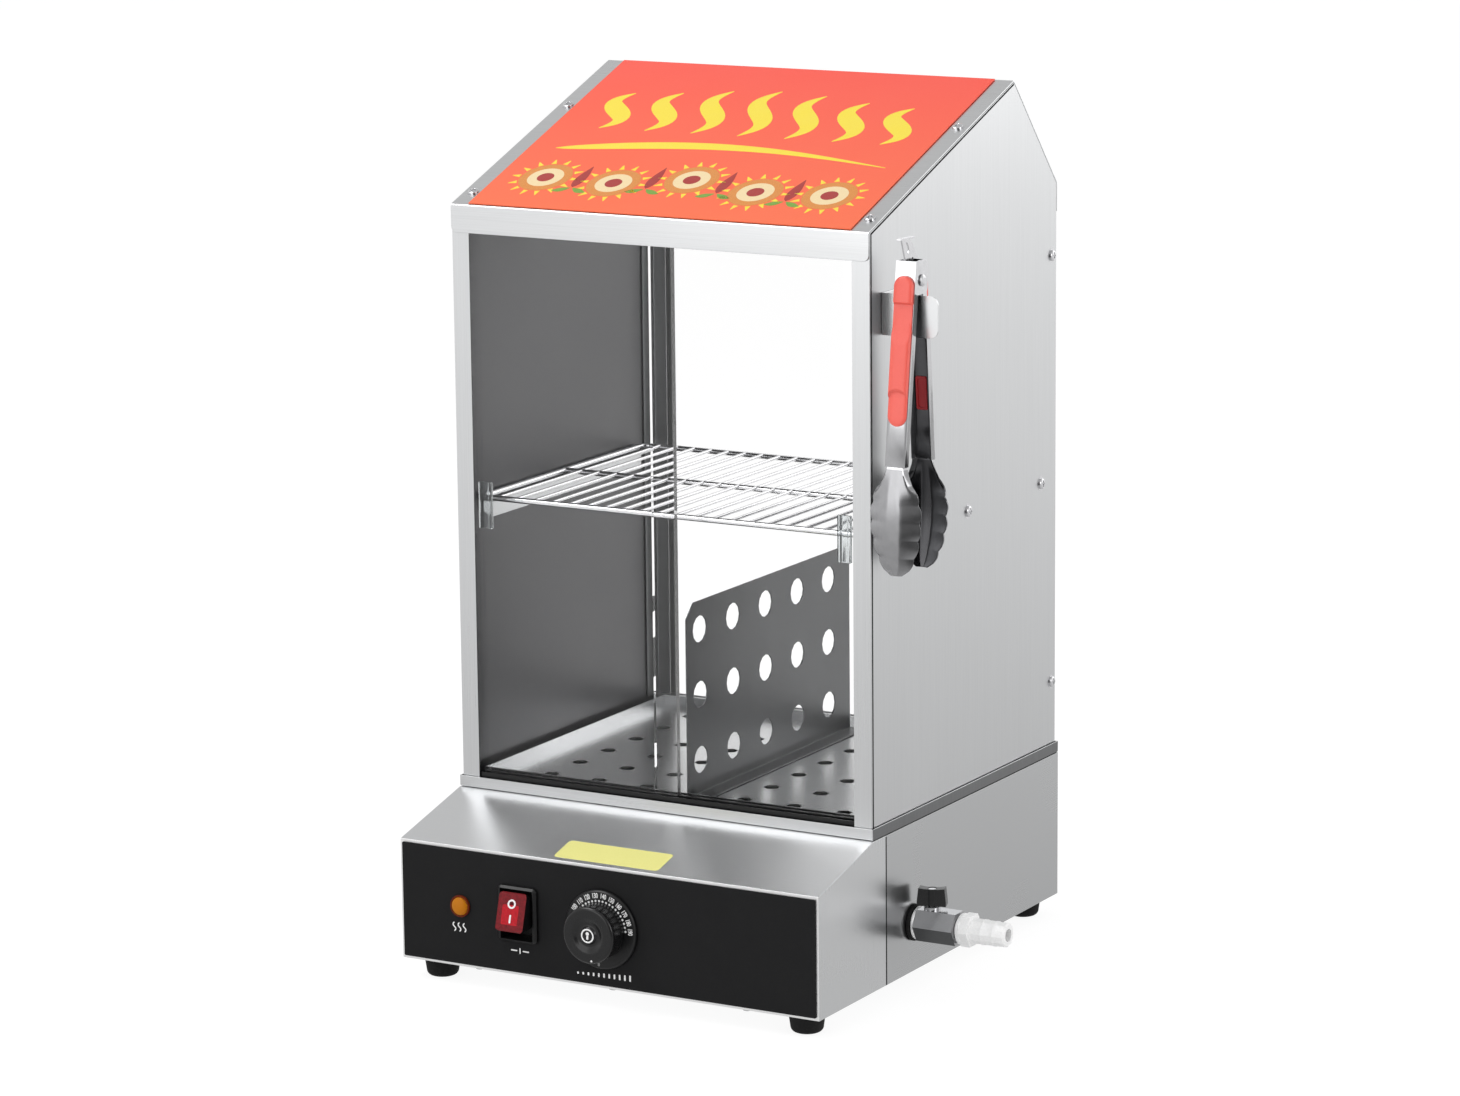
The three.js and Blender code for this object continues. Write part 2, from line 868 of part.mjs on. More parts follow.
// Partition: a perforated plate standing on a folded foot
function partition() {
  const low = cabinetBottom + lap;
  const face = partitionX - sheet / 2;
  const outline = outlineShape([
    [partitionFront, low],
    [partitionFront, partitionTop - partitionChamfer],
    [partitionFront + partitionChamfer, partitionTop],
    [partitionRear, partitionTop],
    [partitionRear, low],
  ]);
  const plate = join(
    alongX(outline, face, face + sheet),
    block(face, face + partitionFoot, partitionFront, partitionRear, low, low + sheet),
  );
  const holes = [];
  for (let row = 0; row < partitionHoleRows; row += 1) {
    for (let column = 0; column < partitionHoleColumns; column += 1) {
      const y = partitionHoleFront + column * partitionHolePitch;
      const z = partitionHoleTop - row * partitionHolePitch;
      const from = face - overrun;
      const to = face + sheet + overrun;
      holes.push(rod("x", from, to, [y, z], partitionHoleDiameter, smallSides));
    }
  }
  return cut(plate, ...holes);
}

// Shelf
const shelfHalf = cabinetHalf - sheet - shelfSideGap;
const supportTop = shelfHeight - shelfFrameWire / 2 - seat;

function shelfSupport(side) {
  const wall = cabinetHalf - sheet - seat;
  const x = (from, to) => [Math.min(side * from, side * to), Math.max(side * from, side * to)];
  const [webFrom, webTo] = x(wall - sheet, wall);
  const [legFrom, legTo] = x(wall - supportWidth, wall);
  const web = outlineShape([
    [supportFront, supportTop],
    [supportRear, supportTop],
    [supportRear, supportTop - supportDrop],
    [supportFront + supportNose, supportTop - supportDrop],
    [supportFront, supportTop - supportDrop / 2],
  ]);
  return join(
    alongX(web, webFrom, webTo),
    block(legFrom, legTo, supportFront, supportRear, supportTop - sheet, supportTop),
  );
}

function wireShelf() {
  const half = shelfHalf - shelfFrameWire / 2;
  const front = shelfFrontY + shelfFrameWire / 2;
  const rear = shelfRearY - shelfFrameWire / 2;
  const wire = (axis, from, to, centre, diameter) =>
    rod(axis, from, to, centre, diameter, diameter < shelfFrameWire ? crossWireSides : wireSides);
  const frameX = (y) =>
    wire("x", -half - shelfFrameWire / 2, half + shelfFrameWire / 2, [y, shelfHeight], shelfFrameWire);
  const frameY = (x) =>
    wire("y", front, rear, [x, shelfHeight], shelfFrameWire);
  const top = shelfHeight + shelfFrameWire / 2 - shelfCrossWire / 2;
  const cross = [...Array(shelfWireCount).keys()].map((i) => {
    const x = -half + ((i + 1) * 2 * half) / (shelfWireCount + 1);
    return wire("y", front, rear, [x, top], shelfCrossWire);
  });
  const brace = frameX((front + rear) / 2);
  return join(frameX(front), frameX(rear), frameY(-half), frameY(half), brace, ...cross);
}

// Doors and tracks
const rearTrackPaneY = frontPaneY + paneSpacing;
const frontTrackFront = frontPaneY - paneClearance - trackRib;
const frontTrackRear = rearTrackPaneY + glassThickness + paneClearance + trackRib;
const doorBottom = cabinetBottom + trackBase + seat;
const topTrackLow = eaveHeight - fasciaHeight + topTrackDrop;
const doorTop = topTrackLow + topTrackHeight - trackBase - doorLift;

// Two grooves side by side, opening up (direction 1) or down (direction -1).
function doorTrack(base, height, direction) {
  const half = openingHalf - seat;
  const level = (d) => base + direction * d;
  const grooves = [frontPaneY, rearTrackPaneY].map((y) =>
    slab(
      half + overrun,
      y - paneClearance,
      y + glassThickness + paneClearance,
      level(trackBase),
      level(height + overrun),
    ),
  );
  return cut(slab(half, frontTrackFront, frontTrackRear, base, level(height)), ...grooves);
}

// A block centred on x = 0 between two heights given in either order.
function slab(half, y0, y1, za, zb) {
  return block(-half, half, y0, y1, Math.min(za, zb), Math.max(za, zb));
}

function doorPane(from, to, y) {
  const outline = roundedRectangle(from, to, doorBottom, doorTop, glassCornerRadius);
  return alongY(outline, y, y + glassThickness);
}

// Finger pull: a thin pad with a raised rib along each long edge.
function doorPull(x, paneFront) {
  const back = paneFront - seat;
  const front = back - pullThickness + seat;
  const rib = pullWidth / 5;
  const profile = outlineShape([
    [x, back],
    [x, front],
    [x + rib, front],
    [x + rib * 1.5, back - pullPlate],
    [x + pullWidth - rib * 1.5, back - pullPlate],
    [x + pullWidth - rib, front],
    [x + pullWidth, front],
    [x + pullWidth, back],
  ]);
  const low = pullCentreHeight - pullHeight / 2;
  return alongZ(profile, low, low + pullHeight);
}

function doors() {
  const leftStart = leftDoorEdge - doorWidth;
  const rightEnd = rightDoorEdge + doorWidth;
  const leftPull = leftStart + pullInset;
  const rightPull = rightEnd - pullInset - pullWidth / 2;
  return assembly(
    part("door_glass_left", doorPane(leftStart, leftDoorEdge, frontPaneY), "glass"),
    part("door_pull_left", doorPull(leftPull, frontPaneY), "clearPlastic"),
    part("door_glass_right", doorPane(rightDoorEdge, rightEnd, rearTrackPaneY), "glass"),
    part("door_pull_right", doorPull(rightPull - pullWidth / 2, rearTrackPaneY), "clearPlastic"),
    part("door_track_top", doorTrack(topTrackLow + topTrackHeight, topTrackHeight, -1), "darkSteel"),
    part("door_track_bottom", doorTrack(cabinetBottom, trackHeight, 1), "blackPlastic"),
  );
}

// Rear glazing: one fixed pane in a sill, a head rail and two upright channels
const rearSillFront = rearPaneY - paneClearance - trackRib;
const rearSillRear = rearPaneY + glassThickness + paneClearance + trackRib;
const rearGlassHalf = cabinetHalf - sheet - rearPaneSideGap;

function rearRail(base, height, direction) {
  const half = cabinetHalf - sheet - seat;
  const level = (d) => base + direction * d;
  const groove = slab(
    half + overrun,
    rearPaneY - paneClearance,
    rearPaneY + glassThickness + paneClearance,
    level(trackBase),
    level(height + overrun),
  );
  return cut(slab(half, rearSillFront, rearSillRear, base, level(height)), groove);
}

function rearChannel(side) {
  const wall = cabinetHalf - sheet - seat;
  const bottom = cabinetBottom + trackHeight + seat;
  const top = rearHeadHeight - seat;
  const rear = rearPaneY - paneClearance;
  const front = rearSillRear - rearChannelDepth;
  const x = (from, to) => [Math.min(side * from, side * to), Math.max(side * from, side * to)];
  return join(
    block(...x(wall - sheet, wall), front, rear, bottom, top),
    block(...x(wall - rearChannelWidth, wall), rear - sheet, rear, bottom, top),
  );
}

function rearGlazing() {
  const bottom = cabinetBottom + trackBase + seat;
  const top = rearHeadHeight + trackHeight - trackBase - seat;
  const pane = block(
    -rearGlassHalf,
    rearGlassHalf,
    rearPaneY,
    rearPaneY + glassThickness,
    bottom,
    top,
  );
  return assembly(
    part("rear_glass", pane, "glass"),
    part("rear_sill", rearRail(cabinetBottom, trackHeight, 1), "steel"),
    part("rear_head_rail", rearRail(rearHeadHeight + trackHeight, trackHeight, -1), "steel"),
    part("rear_channel_left", rearChannel(-1), "darkSteel"),
    part("rear_channel_right", rearChannel(1), "darkSteel"),
  );
}

// Indicator lamp
const panelFront = -consoleReach - seat - panelThickness;

function lamp() {
  const rim = panelFront - seat;
  const face = rim - lampBezelThickness;
  const floor = face + lampSeatDepth;
  const end = rim + lampBodyLength;
  const bezelRadius = lampBezelDiameter / 2;
  const bodyRadius = lampBodyDiameter / 2;
  const lensRadius = lampLensDiameter / 2;
  const bezel = turned(
    "y",
    [
      [0, floor],
      [lensRadius + seat, floor],
      [lensRadius + seat, face],
      [bezelRadius - lampBevel, face],
      [bezelRadius, face + lampBevel],
      [bezelRadius, rim],
      [bodyRadius, rim],
      [bodyRadius, end],
      [0, end],
    ],
    [lampX, lampZ],
  );
  const lensBack = floor - seat;
  const dome = [...Array(cornerSteps + 1).keys()].map((i) => {
    const angle = (i / cornerSteps) * (Math.PI / 2);
    return [lensRadius * Math.sin(angle), lensBack - lampLensHeight * Math.cos(angle)];
  });
  const lens = turned("y", [...dome, [0, lensBack]], [lampX, lampZ]);
  return assembly(part("lamp_bezel", bezel, "amber"), part("lamp_lens", lens, "amber"));
}

// Rocker switch: a chamfered frame on the panel round a well, with its body behind the panel.
function switchFrame() {
  const back = panelFront - seat;
  const front = back - switchProud;
  const halfWidth = switchWidth / 2;
  const halfHeight = switchHeight / 2;
  const rim = roundedRectangle(
    switchX - halfWidth,
    switchX + halfWidth,
    switchZ - halfHeight,
    switchZ + halfHeight,
    switchCornerRadius,
  );
  const bodyHalfWidth = switchBodyWidth / 2;
  const bodyHalfHeight = switchBodyHeight / 2;
  const wellHalfWidth = bodyHalfWidth - switchWall;
  const wellHalfHeight = bodyHalfHeight - switchWall;
  const shell = join(
    chamferedPlate(rim, front, back, switchChamfer),
    block(
      switchX - bodyHalfWidth,
      switchX + bodyHalfWidth,
      back - switchWall,
      back + switchBodyDepth,
      switchZ - bodyHalfHeight,
      switchZ + bodyHalfHeight,
    ),
  );
  const well = block(
    switchX - wellHalfWidth,
    switchX + wellHalfWidth,
    front - overrun,
    back + switchWellDepth,
    switchZ - wellHalfHeight,
    switchZ + wellHalfHeight,
  );
  return cut(shell, well);
}

// A plate facing -y whose front edge is chamfered all round.
function chamferedPlate(shape, front, back, chamfer) {
  const geometry = new THREE.ExtrudeGeometry(shape, {
    depth: back - front - chamfer,
    bevelSize: chamfer,
    bevelThickness: chamfer,
    bevelOffset: -chamfer,
    bevelSegments: 1,
    curveSegments: cornerSteps,
  });
  geometry.applyMatrix4(new THREE.Matrix4().makeBasis(X, Z, Y.clone().negate()));
  geometry.translate(0, back, 0);
  geometry.computeBoundingBox();
  const { min, max } = geometry.boundingBox;
  const behind = block(
    min.x - overrun,
    max.x + overrun,
    back,
    max.y + overrun,
    min.z - overrun,
    max.z + overrun,
  );
  return cut(solid(geometry), behind);
}

// The rocker is modelled level about its pins, then leant back at the top: the OFF position.
function switchRocker() {
  const half = rockerHeight / 2;
  const tailHalf = rockerTailHeight / 2;
  const profile = outlineShape([
    [-rockerReach, half - rockerEdge],
    [-rockerReach, rockerEdge - half],
    [rockerEdge - rockerReach, -half],
    [0, -tailHalf],
    [rockerTail, -tailHalf],
    [rockerTail, tailHalf],
    [0, tailHalf],
    [rockerEdge - rockerReach, half],
  ]);
  const pinReach = switchBodyWidth / 2 - switchWall - seat;
  const wide = rockerWidth / 2;
  const face = roundedRectangle(-wide, wide, -half, half, rockerCornerRadius);
  const body = join(
    alongX(profile, -wide, wide).intersect(
      alongY(face, -rockerReach - overrun, rockerTail + overrun),
    ),
    rod("x", -pinReach, pinReach, [0, 0], rockerPinDiameter, smallSides),
  );
  const group = assembly(part("switch_rocker", body, "redRocker"));
  group.position.set(switchX, panelFront + rockerPivotDepth, switchZ);
  group.rotation.x = -THREE.MathUtils.degToRad(rockerTilt);
  return group;
}

// Thermostat, knob and shaft
function knob() {
  const skirtBack = panelFront - knobSkirtGap;
  const skirtFront = skirtBack - knobSkirtThickness;
  const centre = [knobX, knobZ];
  const boreDiameter = shaftDiameter + 2 * boreClearance;
  const skirtRadius = knobSkirtDiameter / 2;
  const skirt = cut(
    turned(
      "y",
      [
        [0, skirtBack],
        [skirtRadius, skirtBack],
        [skirtRadius, skirtBack - knobSkirtThickness / 2],
        [skirtRadius - knobSkirtThickness / 2, skirtFront],
        [0, skirtFront],
      ],
      centre,
      2 * roundSides,
    ),
    rod("y", skirtFront - overrun, skirtBack + overrun, centre, boreDiameter, smallSides),
  );
  const gripBack = skirtFront - seat;
  const gripFront = gripBack - knobGripLength;
  const bore = rod("y", gripBack - shaftReach, gripBack + overrun, centre, boreDiameter, smallSides);
  const cap = cut(knobGrip(gripBack, gripFront), bore);
  const shaftTip = gripBack - shaftReach + seat;
  const shaft = cut(
    rod("y", shaftTip, -consoleReach + thermostatDepth / 2, centre, shaftDiameter, smallSides),
    block(
      knobX - shaftDiameter,
      knobX + shaftDiameter,
      shaftTip - overrun,
      gripBack,
      knobZ + shaftDiameter / 2 - shaftFlat,
      knobZ + shaftDiameter,
    ),
  );
  return assembly(
    part("knob_skirt", skirt, "blackPlastic"),
    part("knob_grip", cap, "blackPlastic"),
    part("thermostat_shaft", shaft, "steel"),
  );
}

// The grip: a waisted drum with a round rim and a dished face that has a flat hub in its middle.
function knobGrip(back, front) {
  const drum = knobGripDiameter / 2;
  const waist = knobGripWaistDiameter / 2;
  const dish = knobDishDiameter / 2;
  const hub = knobHubDiameter / 2;
  const rim = [...Array(knobRimSteps + 1).keys()].map((i) => {
    const angle = (i / knobRimSteps) * (Math.PI / 2);
    return [drum - knobRim * (1 - Math.sin(angle)), front + knobRim * (1 - Math.cos(angle))];
  });
  const outline = [
    [0, front + knobDishDepth],
    [hub, front + knobDishDepth],
    [dish, front],
    ...rim,
    [waist, (front + back) / 2],
    [drum, back - knobRim],
    [drum, back],
    [0, back],
  ];
  return turned("y", outline, [knobX, knobZ], knobSides);
}

function thermostat() {
  const front = sheet - consoleReach + seat;
  const halfWidth = thermostatWidth / 2;
  const halfHeight = thermostatHeight / 2;
  const centre = [knobX, knobZ];
  return cut(
    join(
      block(
        knobX - halfWidth,
        knobX + halfWidth,
        front,
        front + thermostatDepth,
        knobZ - halfHeight,
        knobZ + halfHeight,
      ),
      rod("y", panelFront + seat, front + seat, centre, bushDiameter),
    ),
    rod(
      "y",
      panelFront - overrun,
      front + thermostatDepth / 2 + seat,
      centre,
      shaftDiameter + 2 * boreClearance,
      smallSides,
    ),
  );
}

// Terminal block with one groove between each two ways
function terminalBlock() {
  const low = 2 * (sheet + seat);
  const half = terminalWidth / 2;
  const pitch = terminalWidth / terminalWays;
  const grooves = [...Array(terminalWays - 1).keys()].map((i) => {
    const x = terminalX - half + (i + 1) * pitch;
    return block(
      x - terminalGroove / 2,
      x + terminalGroove / 2,
      terminalY - terminalDepth,
      terminalY + terminalDepth,
      low + terminalHeight / 2,
      low + terminalHeight + overrun,
    );
  });
  const body = block(
    terminalX - half,
    terminalX + half,
    terminalY - terminalDepth / 2,
    terminalY + terminalDepth / 2,
    low,
    low + terminalHeight,
  );
  return cut(body, ...grooves);
}

function cableGland() {
  const wallIn = baseRear - sheet;
  const thread = glandThread / 2;
  const hex = (from, to) => hexBar("y", from, to, [glandX, glandZ], glandHexWidth);
  const dome = turned(
    "y",
    [
      [0, baseRear + seat],
      [thread + sheet, baseRear + seat],
      [thread + sheet, baseRear + glandHexLength + glandDomeLength / 2],
      [thread - sheet, baseRear + glandHexLength + glandDomeLength],
      [0, baseRear + glandHexLength + glandDomeLength],
    ],
    [glandX, glandZ],
  );
  const nutStart = wallIn - seat - glandNutLength;
  return cut(
    join(
      hex(baseRear + seat, baseRear + glandHexLength),
      dome,
      rod("y", nutStart, baseRear + seat, [glandX, glandZ], glandThread),
      hex(nutStart, wallIn - seat),
    ),
    rod("y", nutStart - overrun, baseRear + glandDomeLength * 2, [glandX, glandZ], glandBore),
  );
}

// Drain valve on the right side
const tapCentre = [tapY, tapZ];
const tapGasketX = baseHalf + seat;
const tapWasherX = tapGasketX + tapGasketThickness + seat;
const tapBodyX = tapWasherX + tapWasherThickness + seat;
const tapBodyEnd = tapBodyX + tapHexLength;
const tapStemPlace = tapBodyX + tapStemX;

function ring(from, thickness, outer, inner) {
  return cut(
    rod("x", from, from + thickness, tapCentre, outer),
    rod("x", from - overrun, from + thickness + overrun, tapCentre, inner),
  );
}

function valveBody() {
  const tankEnd = tankHalf - sheet - seat - tapNutLength - seat;
  const bossTop = tapZ + tapHexWidth / 2 + tapBossHeight;
  const cavity = new THREE.SphereGeometry(tapBallDiameter / 2 + tapBallClearance, smallSides, holeSides);
  cavity.rotateX(Math.PI / 2).translate(tapStemPlace, tapY, tapZ);
  return cut(
    join(
      hexBar("x", tapBodyX, tapBodyEnd, tapCentre, tapHexWidth),
      rod("x", tankEnd, tapBodyX + overrun, tapCentre, tapThreadDiameter),
      rod("z", tapZ, bossTop, [tapStemPlace, tapY], tapBossDiameter),
    ),
    rod("x", tankEnd - overrun, tapBodyEnd + overrun, tapCentre, tapBore, smallSides),
    rod("x", tapStemPlace, tapBodyEnd + overrun, tapCentre, tapBallDiameter + 2 * tapBallClearance),
    rod(
      "z",
      tapZ,
      bossTop + overrun,
      [tapStemPlace, tapY],
      tapStemDiameter + 2 * tapBallClearance,
      smallSides,
    ),
    solid(cavity),
  );
}

// The ball, its stem and the lever turn together about the stem, at the origin of their group.
function valveBall() {
  const ball = new THREE.SphereGeometry(tapBallDiameter / 2, smallSides, holeSides);
  ball.rotateX(Math.PI / 2).translate(0, 0, tapZ);
  const bore = rod("x", -tapBallDiameter, tapBallDiameter, [0, tapZ], tapBore, smallSides);
  return cut(solid(ball), bore);
}

function valveStem() {
  const low = tapZ + tapBallDiameter / 2 + seat;
  return rod("z", low, leverTop - tapLeverDip - seat, [0, 0], tapStemDiameter, smallSides);
}

const leverLow = tapZ + tapHexWidth / 2 + tapBossHeight + tapLeverGap;
const leverTop = leverLow + tapLeverHeight;

// Two-winged lever in line with the ball's bore: a waisted bar, longer at its foot, with a round hub.
function valveLever() {
  const half = tapLeverLength / 2;
  const topHalf = tapLeverTopLength / 2;
  const hub = tapLeverWidth / 2;
  const side = outlineShape([
    [-half, leverLow],
    [half, leverLow],
    [half, leverLow + tapLeverFoot],
    [topHalf, leverTop],
    [hub, leverTop - tapLeverDip],
    [-hub, leverTop - tapLeverDip],
    [-topHalf, leverTop],
    [-half, leverLow + tapLeverFoot],
  ]);
  const waist = outlineShape([
    [-half, -hub],
    [0, -tapLeverWaist / 2],
    [half, -hub],
    [half, hub],
    [0, tapLeverWaist / 2],
    [-half, hub],
  ]);
  const wings = extruded(side, 2 * tapLeverWidth, [X, Z, Y.clone().negate()], [0, tapLeverWidth, 0])
    .intersect(alongZ(waist, leverLow - overrun, leverTop + overrun));
  const bore = tapStemDiameter + 2 * boreClearance;
  return cut(
    join(wings, rod("z", leverLow, leverTop - tapLeverDip, [0, 0], tapLeverWidth)),
    rod("z", leverLow - overrun, leverTop + overrun, [0, 0], bore, smallSides),
  );
}

// Hose nipple: neck, round collar, hexagon and a tapered barrel with low rings.
function hoseNipple() {
  const start = tapBodyEnd + seat;
  const collar = start + nippleNeckLength;
  const collarEnd = collar + nippleFlangeLength;
  const hexEnd = collarEnd + nippleHexLength;
  const end = hexEnd + nippleBarrelLength;
  const root = nippleRootDiameter / 2;
  const tip = nippleTipDiameter / 2;
  const barrelAt = (x) => root + ((tip - root) * (x - hexEnd)) / nippleBarrelLength;
  const profile = [
    [0, collarEnd],
    [root, collarEnd],
    [root, hexEnd],
  ];
  for (let i = 1; i <= nippleRings; i += 1) {
    const x = hexEnd + (i * nippleBarrelLength) / (nippleRings + 1);
    profile.push([barrelAt(x - nippleRingWidth / 2), x - nippleRingWidth / 2]);
    profile.push([barrelAt(x) + nippleRingHeight, x]);
    profile.push([barrelAt(x + nippleRingWidth / 2), x + nippleRingWidth / 2]);
  }
  profile.push([barrelAt(end - nippleBevel), end - nippleBevel], [tip - nippleBevel, end], [0, end]);
  const collarRadius = nippleFlangeDiameter / 2;
  return cut(
    join(
      rod("x", start, collar + overrun, tapCentre, nippleNeckDiameter),
      turned(
        "x",
        [
          [0, collar],
          [collarRadius - nippleBevel, collar],
          [collarRadius, collar + nippleBevel],
          [collarRadius, collarEnd - nippleBevel],
          [collarRadius - nippleBevel, collarEnd],
          [0, collarEnd],
        ],
        tapCentre,
      ),
      hexBar("x", collarEnd - nippleBevel, hexEnd, tapCentre, nippleHexWidth),
      turned("x", profile, tapCentre, barrelSides),
    ),
    rod("x", start - overrun, end + overrun, tapCentre, nippleBore, smallSides),
  );
}

function drainValve() {
  const nutStart = tankHalf - sheet - seat - tapNutLength;
  const nut = cut(
    hexBar("x", nutStart, nutStart + tapNutLength, tapCentre, tapNutWidth),
    rod("x", nutStart - overrun, tankHalf, tapCentre, tapThreadDiameter + 2 * seat),
  );
  const hole = tapThreadDiameter + 2 * seat;
  const handle = assembly(
    part("valve_ball", valveBall(), "brightSteel"),
    part("valve_stem", valveStem(), "steel"),
    part("valve_lever", valveLever(), "blackPlastic"),
  );
  handle.position.set(tapStemPlace, tapY, 0);
  handle.rotation.z = THREE.MathUtils.degToRad(tapLeverTurn);
  return assembly(
    part("tap_washer", ring(tapWasherX, tapWasherThickness, tapWasherDiameter, hole), "nylon"),
    part("tap_gasket", ring(tapGasketX, tapGasketThickness, tapGasketDiameter, hole), "rubber"),
    part("tap_tank_nut", nut, "steel"),
    part("valve_body", valveBody(), "brightSteel"),
    handle,
    part("hose_nipple", hoseNipple(), "nylon"),
  );
}

// Tong holder
function tongHolder() {
  const root = cabinetHalf + seat;
  const tip = root + holderReach;
  const low = holderTop - holderHeight;
  const tab = roundedRectangle(root - overrun, tip, low, holderTop, holderCornerRadius);
  const flange = block(
    root,
    root + holderThickness,
    holderTabY,
    holderTabY + holderFlange,
    low,
    holderTop,
  );
  return join(
    cut(
      alongY(tab, holderTabY, holderTabY + holderThickness),
      block(
        root - 2 * overrun,
        root,
        holderTabY - overrun,
        holderTabY + overrun,
        low - overrun,
        holderTop + overrun,
      ),
    ),
    flange,
  );
}

// Tongs. Local axes: x across the arms, y away from the rear arm (to the front), z down from the
// pivot is negative. The front arm is built on -y and the rear arm is its mirror on +y.
const spreadAt = (down) => armHalfSpread + (down + armTop) * armSplay;

// Everything on the bisector's side of the web's outer face, between two depths.
function behindWeb(top, bottom, inset) {
  return outlineShape([
    [inset - spreadAt(top), -top],
    [inset - spreadAt(bottom), -bottom],
    [armFarSide, -bottom],
    [armFarSide, -top],
  ]);
}

// A U section with its web on the outer side and its flanges turned inwards.
function channel(width, top, bottom) {
  const half = width / 2;
  const depth = outlineShape([
    [-spreadAt(top), -top],
    [-spreadAt(bottom), -bottom],
    [armFlange - spreadAt(bottom), -bottom],
    [armFlange - spreadAt(top), -top],
  ]);
  return cut(alongX(depth, -half, half), hollow(width));
}

function hollow(width) {
  const half = width / 2 - armThickness;
  return alongX(behindWeb(-armTop - overrun, armNeck + overrun, armThickness), -half, half);
}

// The pivot ears: rounded plates that carry the flanges across the bisector to the rivet.
function ears(width, reach) {
  const half = width / 2;
  const plate = roundedRectangle(
    -spreadAt(earBottom),
    reach,
    -earBottom,
    armTop,
    earCornerRadius,
  );
  const block = alongX(plate, -half, half).intersect(
    alongX(behindWeb(-armTop, earBottom, 0), -half, half),
  );
  return cut(block, hollow(width));
}

// The stem with full-width ears, or with narrower ears that nest inside the other arm's.
function armStem(earWidth, reach) {
  if (earWidth === armWidth) {
    return join(channel(armWidth, -armTop, armNeck), ears(armWidth, reach));
  }
  const step = [-1, 1].map((side) => {
    const inner = side * (earWidth / 2 - armThickness);
    const outer = (side * armWidth) / 2;
    return block(
      Math.min(inner, outer),
      Math.max(inner, outer),
      -spreadAt(armJog) + armThickness / 2,
      armFlange - spreadAt(armJog),
      -armJog - armThickness,
      -armJog,
    );
  });
  return join(
    channel(armWidth, armJog, armNeck),
    channel(earWidth, -armTop, armJog + armThickness),
    ears(earWidth, reach),
    ...step,
  );
}

// The scoop head: a thin trough with scalloped edges, from the neck to the rounded tip.
function armHead() {
  const rows = [...Array(headRows + 1).keys()].map((i) => i / headRows);
  const columns = [...Array(headColumns + 1).keys()].map((j) => (2 * j) / headColumns - 1);
  const outer = rows.map((v) => columns.map((u) => headPoint(u, v, 0)));
  const inner = rows.map((v) => columns.map((u) => headPoint(u, v, armThickness)));
  return solid(shellBetween(outer, inner));
}

const headRows = 24;
const headColumns = 6;
// Half width of the head from its neck to its tip, as shares of headHalfWidth.
const headWidthShares = [
  0.4, 0.54, 0.69, 0.82, 0.91, 0.97, 1, 1, 0.99, 0.97, 0.95, 0.92, 0.89, 0.85, 0.81, 0.76, 0.69, 0.61,
  0.51, 0.38, 0.2,
];
const headFlatShare = 0.36;
const headTroughStartShare = 0.25;
const scallopStartShare = 1 / 6;

function headPoint(u, v, depth) {
  const place = v * (headWidthShares.length - 1);
  const index = Math.min(Math.floor(place), headWidthShares.length - 2);
  const low = headWidthShares[index];
  const share = low + (headWidthShares[index + 1] - low) * (place - index);
  const wave = v < scallopStartShare ? 0 : Math.abs(Math.sin(Math.PI * scallopCount * v));
  const half = headHalfWidth * share + scallopDepth * wave * Math.abs(u);
  const belly = headBelly * Math.sin(Math.PI * v) - headTipPull * v * v;
  const wing = Math.max(Math.abs(u) - headFlatShare, 0) / (1 - headFlatShare);
  const trough = headTrough * share * wing * Math.min(1, v / headTroughStartShare);
  const spread = spreadAt(armNeck) + belly - trough;
  const down = armNeck - armThickness + v * (headLength + armThickness);
  return new THREE.Vector3(u * half, depth - spread, -down);
}

// A closed shell between two grids of points, with a wall round the rim.
function shellBetween(outer, inner) {
  const rows = outer.length;
  const columns = outer[0].length;
  const points = [...outer.flat(), ...inner.flat()];
  const at = (layer, i, j) => layer * rows * columns + i * columns + j;
  const faces = [];
  const quad = (a, b, c, d) => faces.push(a, b, c, a, c, d);
  for (let i = 0; i < rows - 1; i += 1) {
    for (let j = 0; j < columns - 1; j += 1) {
      quad(at(0, i, j), at(0, i + 1, j), at(0, i + 1, j + 1), at(0, i, j + 1));
      quad(at(1, i, j), at(1, i, j + 1), at(1, i + 1, j + 1), at(1, i + 1, j));
    }
    quad(at(0, i, 0), at(1, i, 0), at(1, i + 1, 0), at(0, i + 1, 0));
    const last = columns - 1;
    quad(at(0, i + 1, last), at(1, i + 1, last), at(1, i, last), at(0, i, last));
  }
  for (let j = 0; j < columns - 1; j += 1) {
    quad(at(0, 0, j + 1), at(1, 0, j + 1), at(1, 0, j), at(0, 0, j));
    const last = rows - 1;
    quad(at(0, last, j), at(1, last, j), at(1, last, j + 1), at(0, last, j + 1));
  }
  const geometry = new THREE.BufferGeometry();
  const array = new Float32Array(points.flatMap((p) => [p.x, p.y, p.z]));
  geometry.setAttribute("position", new THREE.BufferAttribute(array, 3));
  geometry.setIndex(faces);
  return geometry;
}

function tongArm(earWidth, reach) {
  const hole = rod("x", -armWidth, armWidth, [0, 0], rivetDiameter + 2 * seat, smallSides);
  return cut(join(armStem(earWidth, reach), armHead()), hole, plugWindow(0));
}

// A place over the web, a little lifted off its outer face.
const overWeb = (down, lift) => [-spreadAt(down) - lift, -down];

// The window in the web that the grip's plug fills, made smaller all round by a gap.
function plugWindow(gap) {
  const half = plugWidth / 2 - gap;
  const window = roundedRectangle(
    -half,
    half,
    gap - plugTop - plugLength,
    -gap - plugTop,
    plugCornerRadius,
  );
  return alongY(window, -spreadAt(gripBottom) - overrun, 0);
}

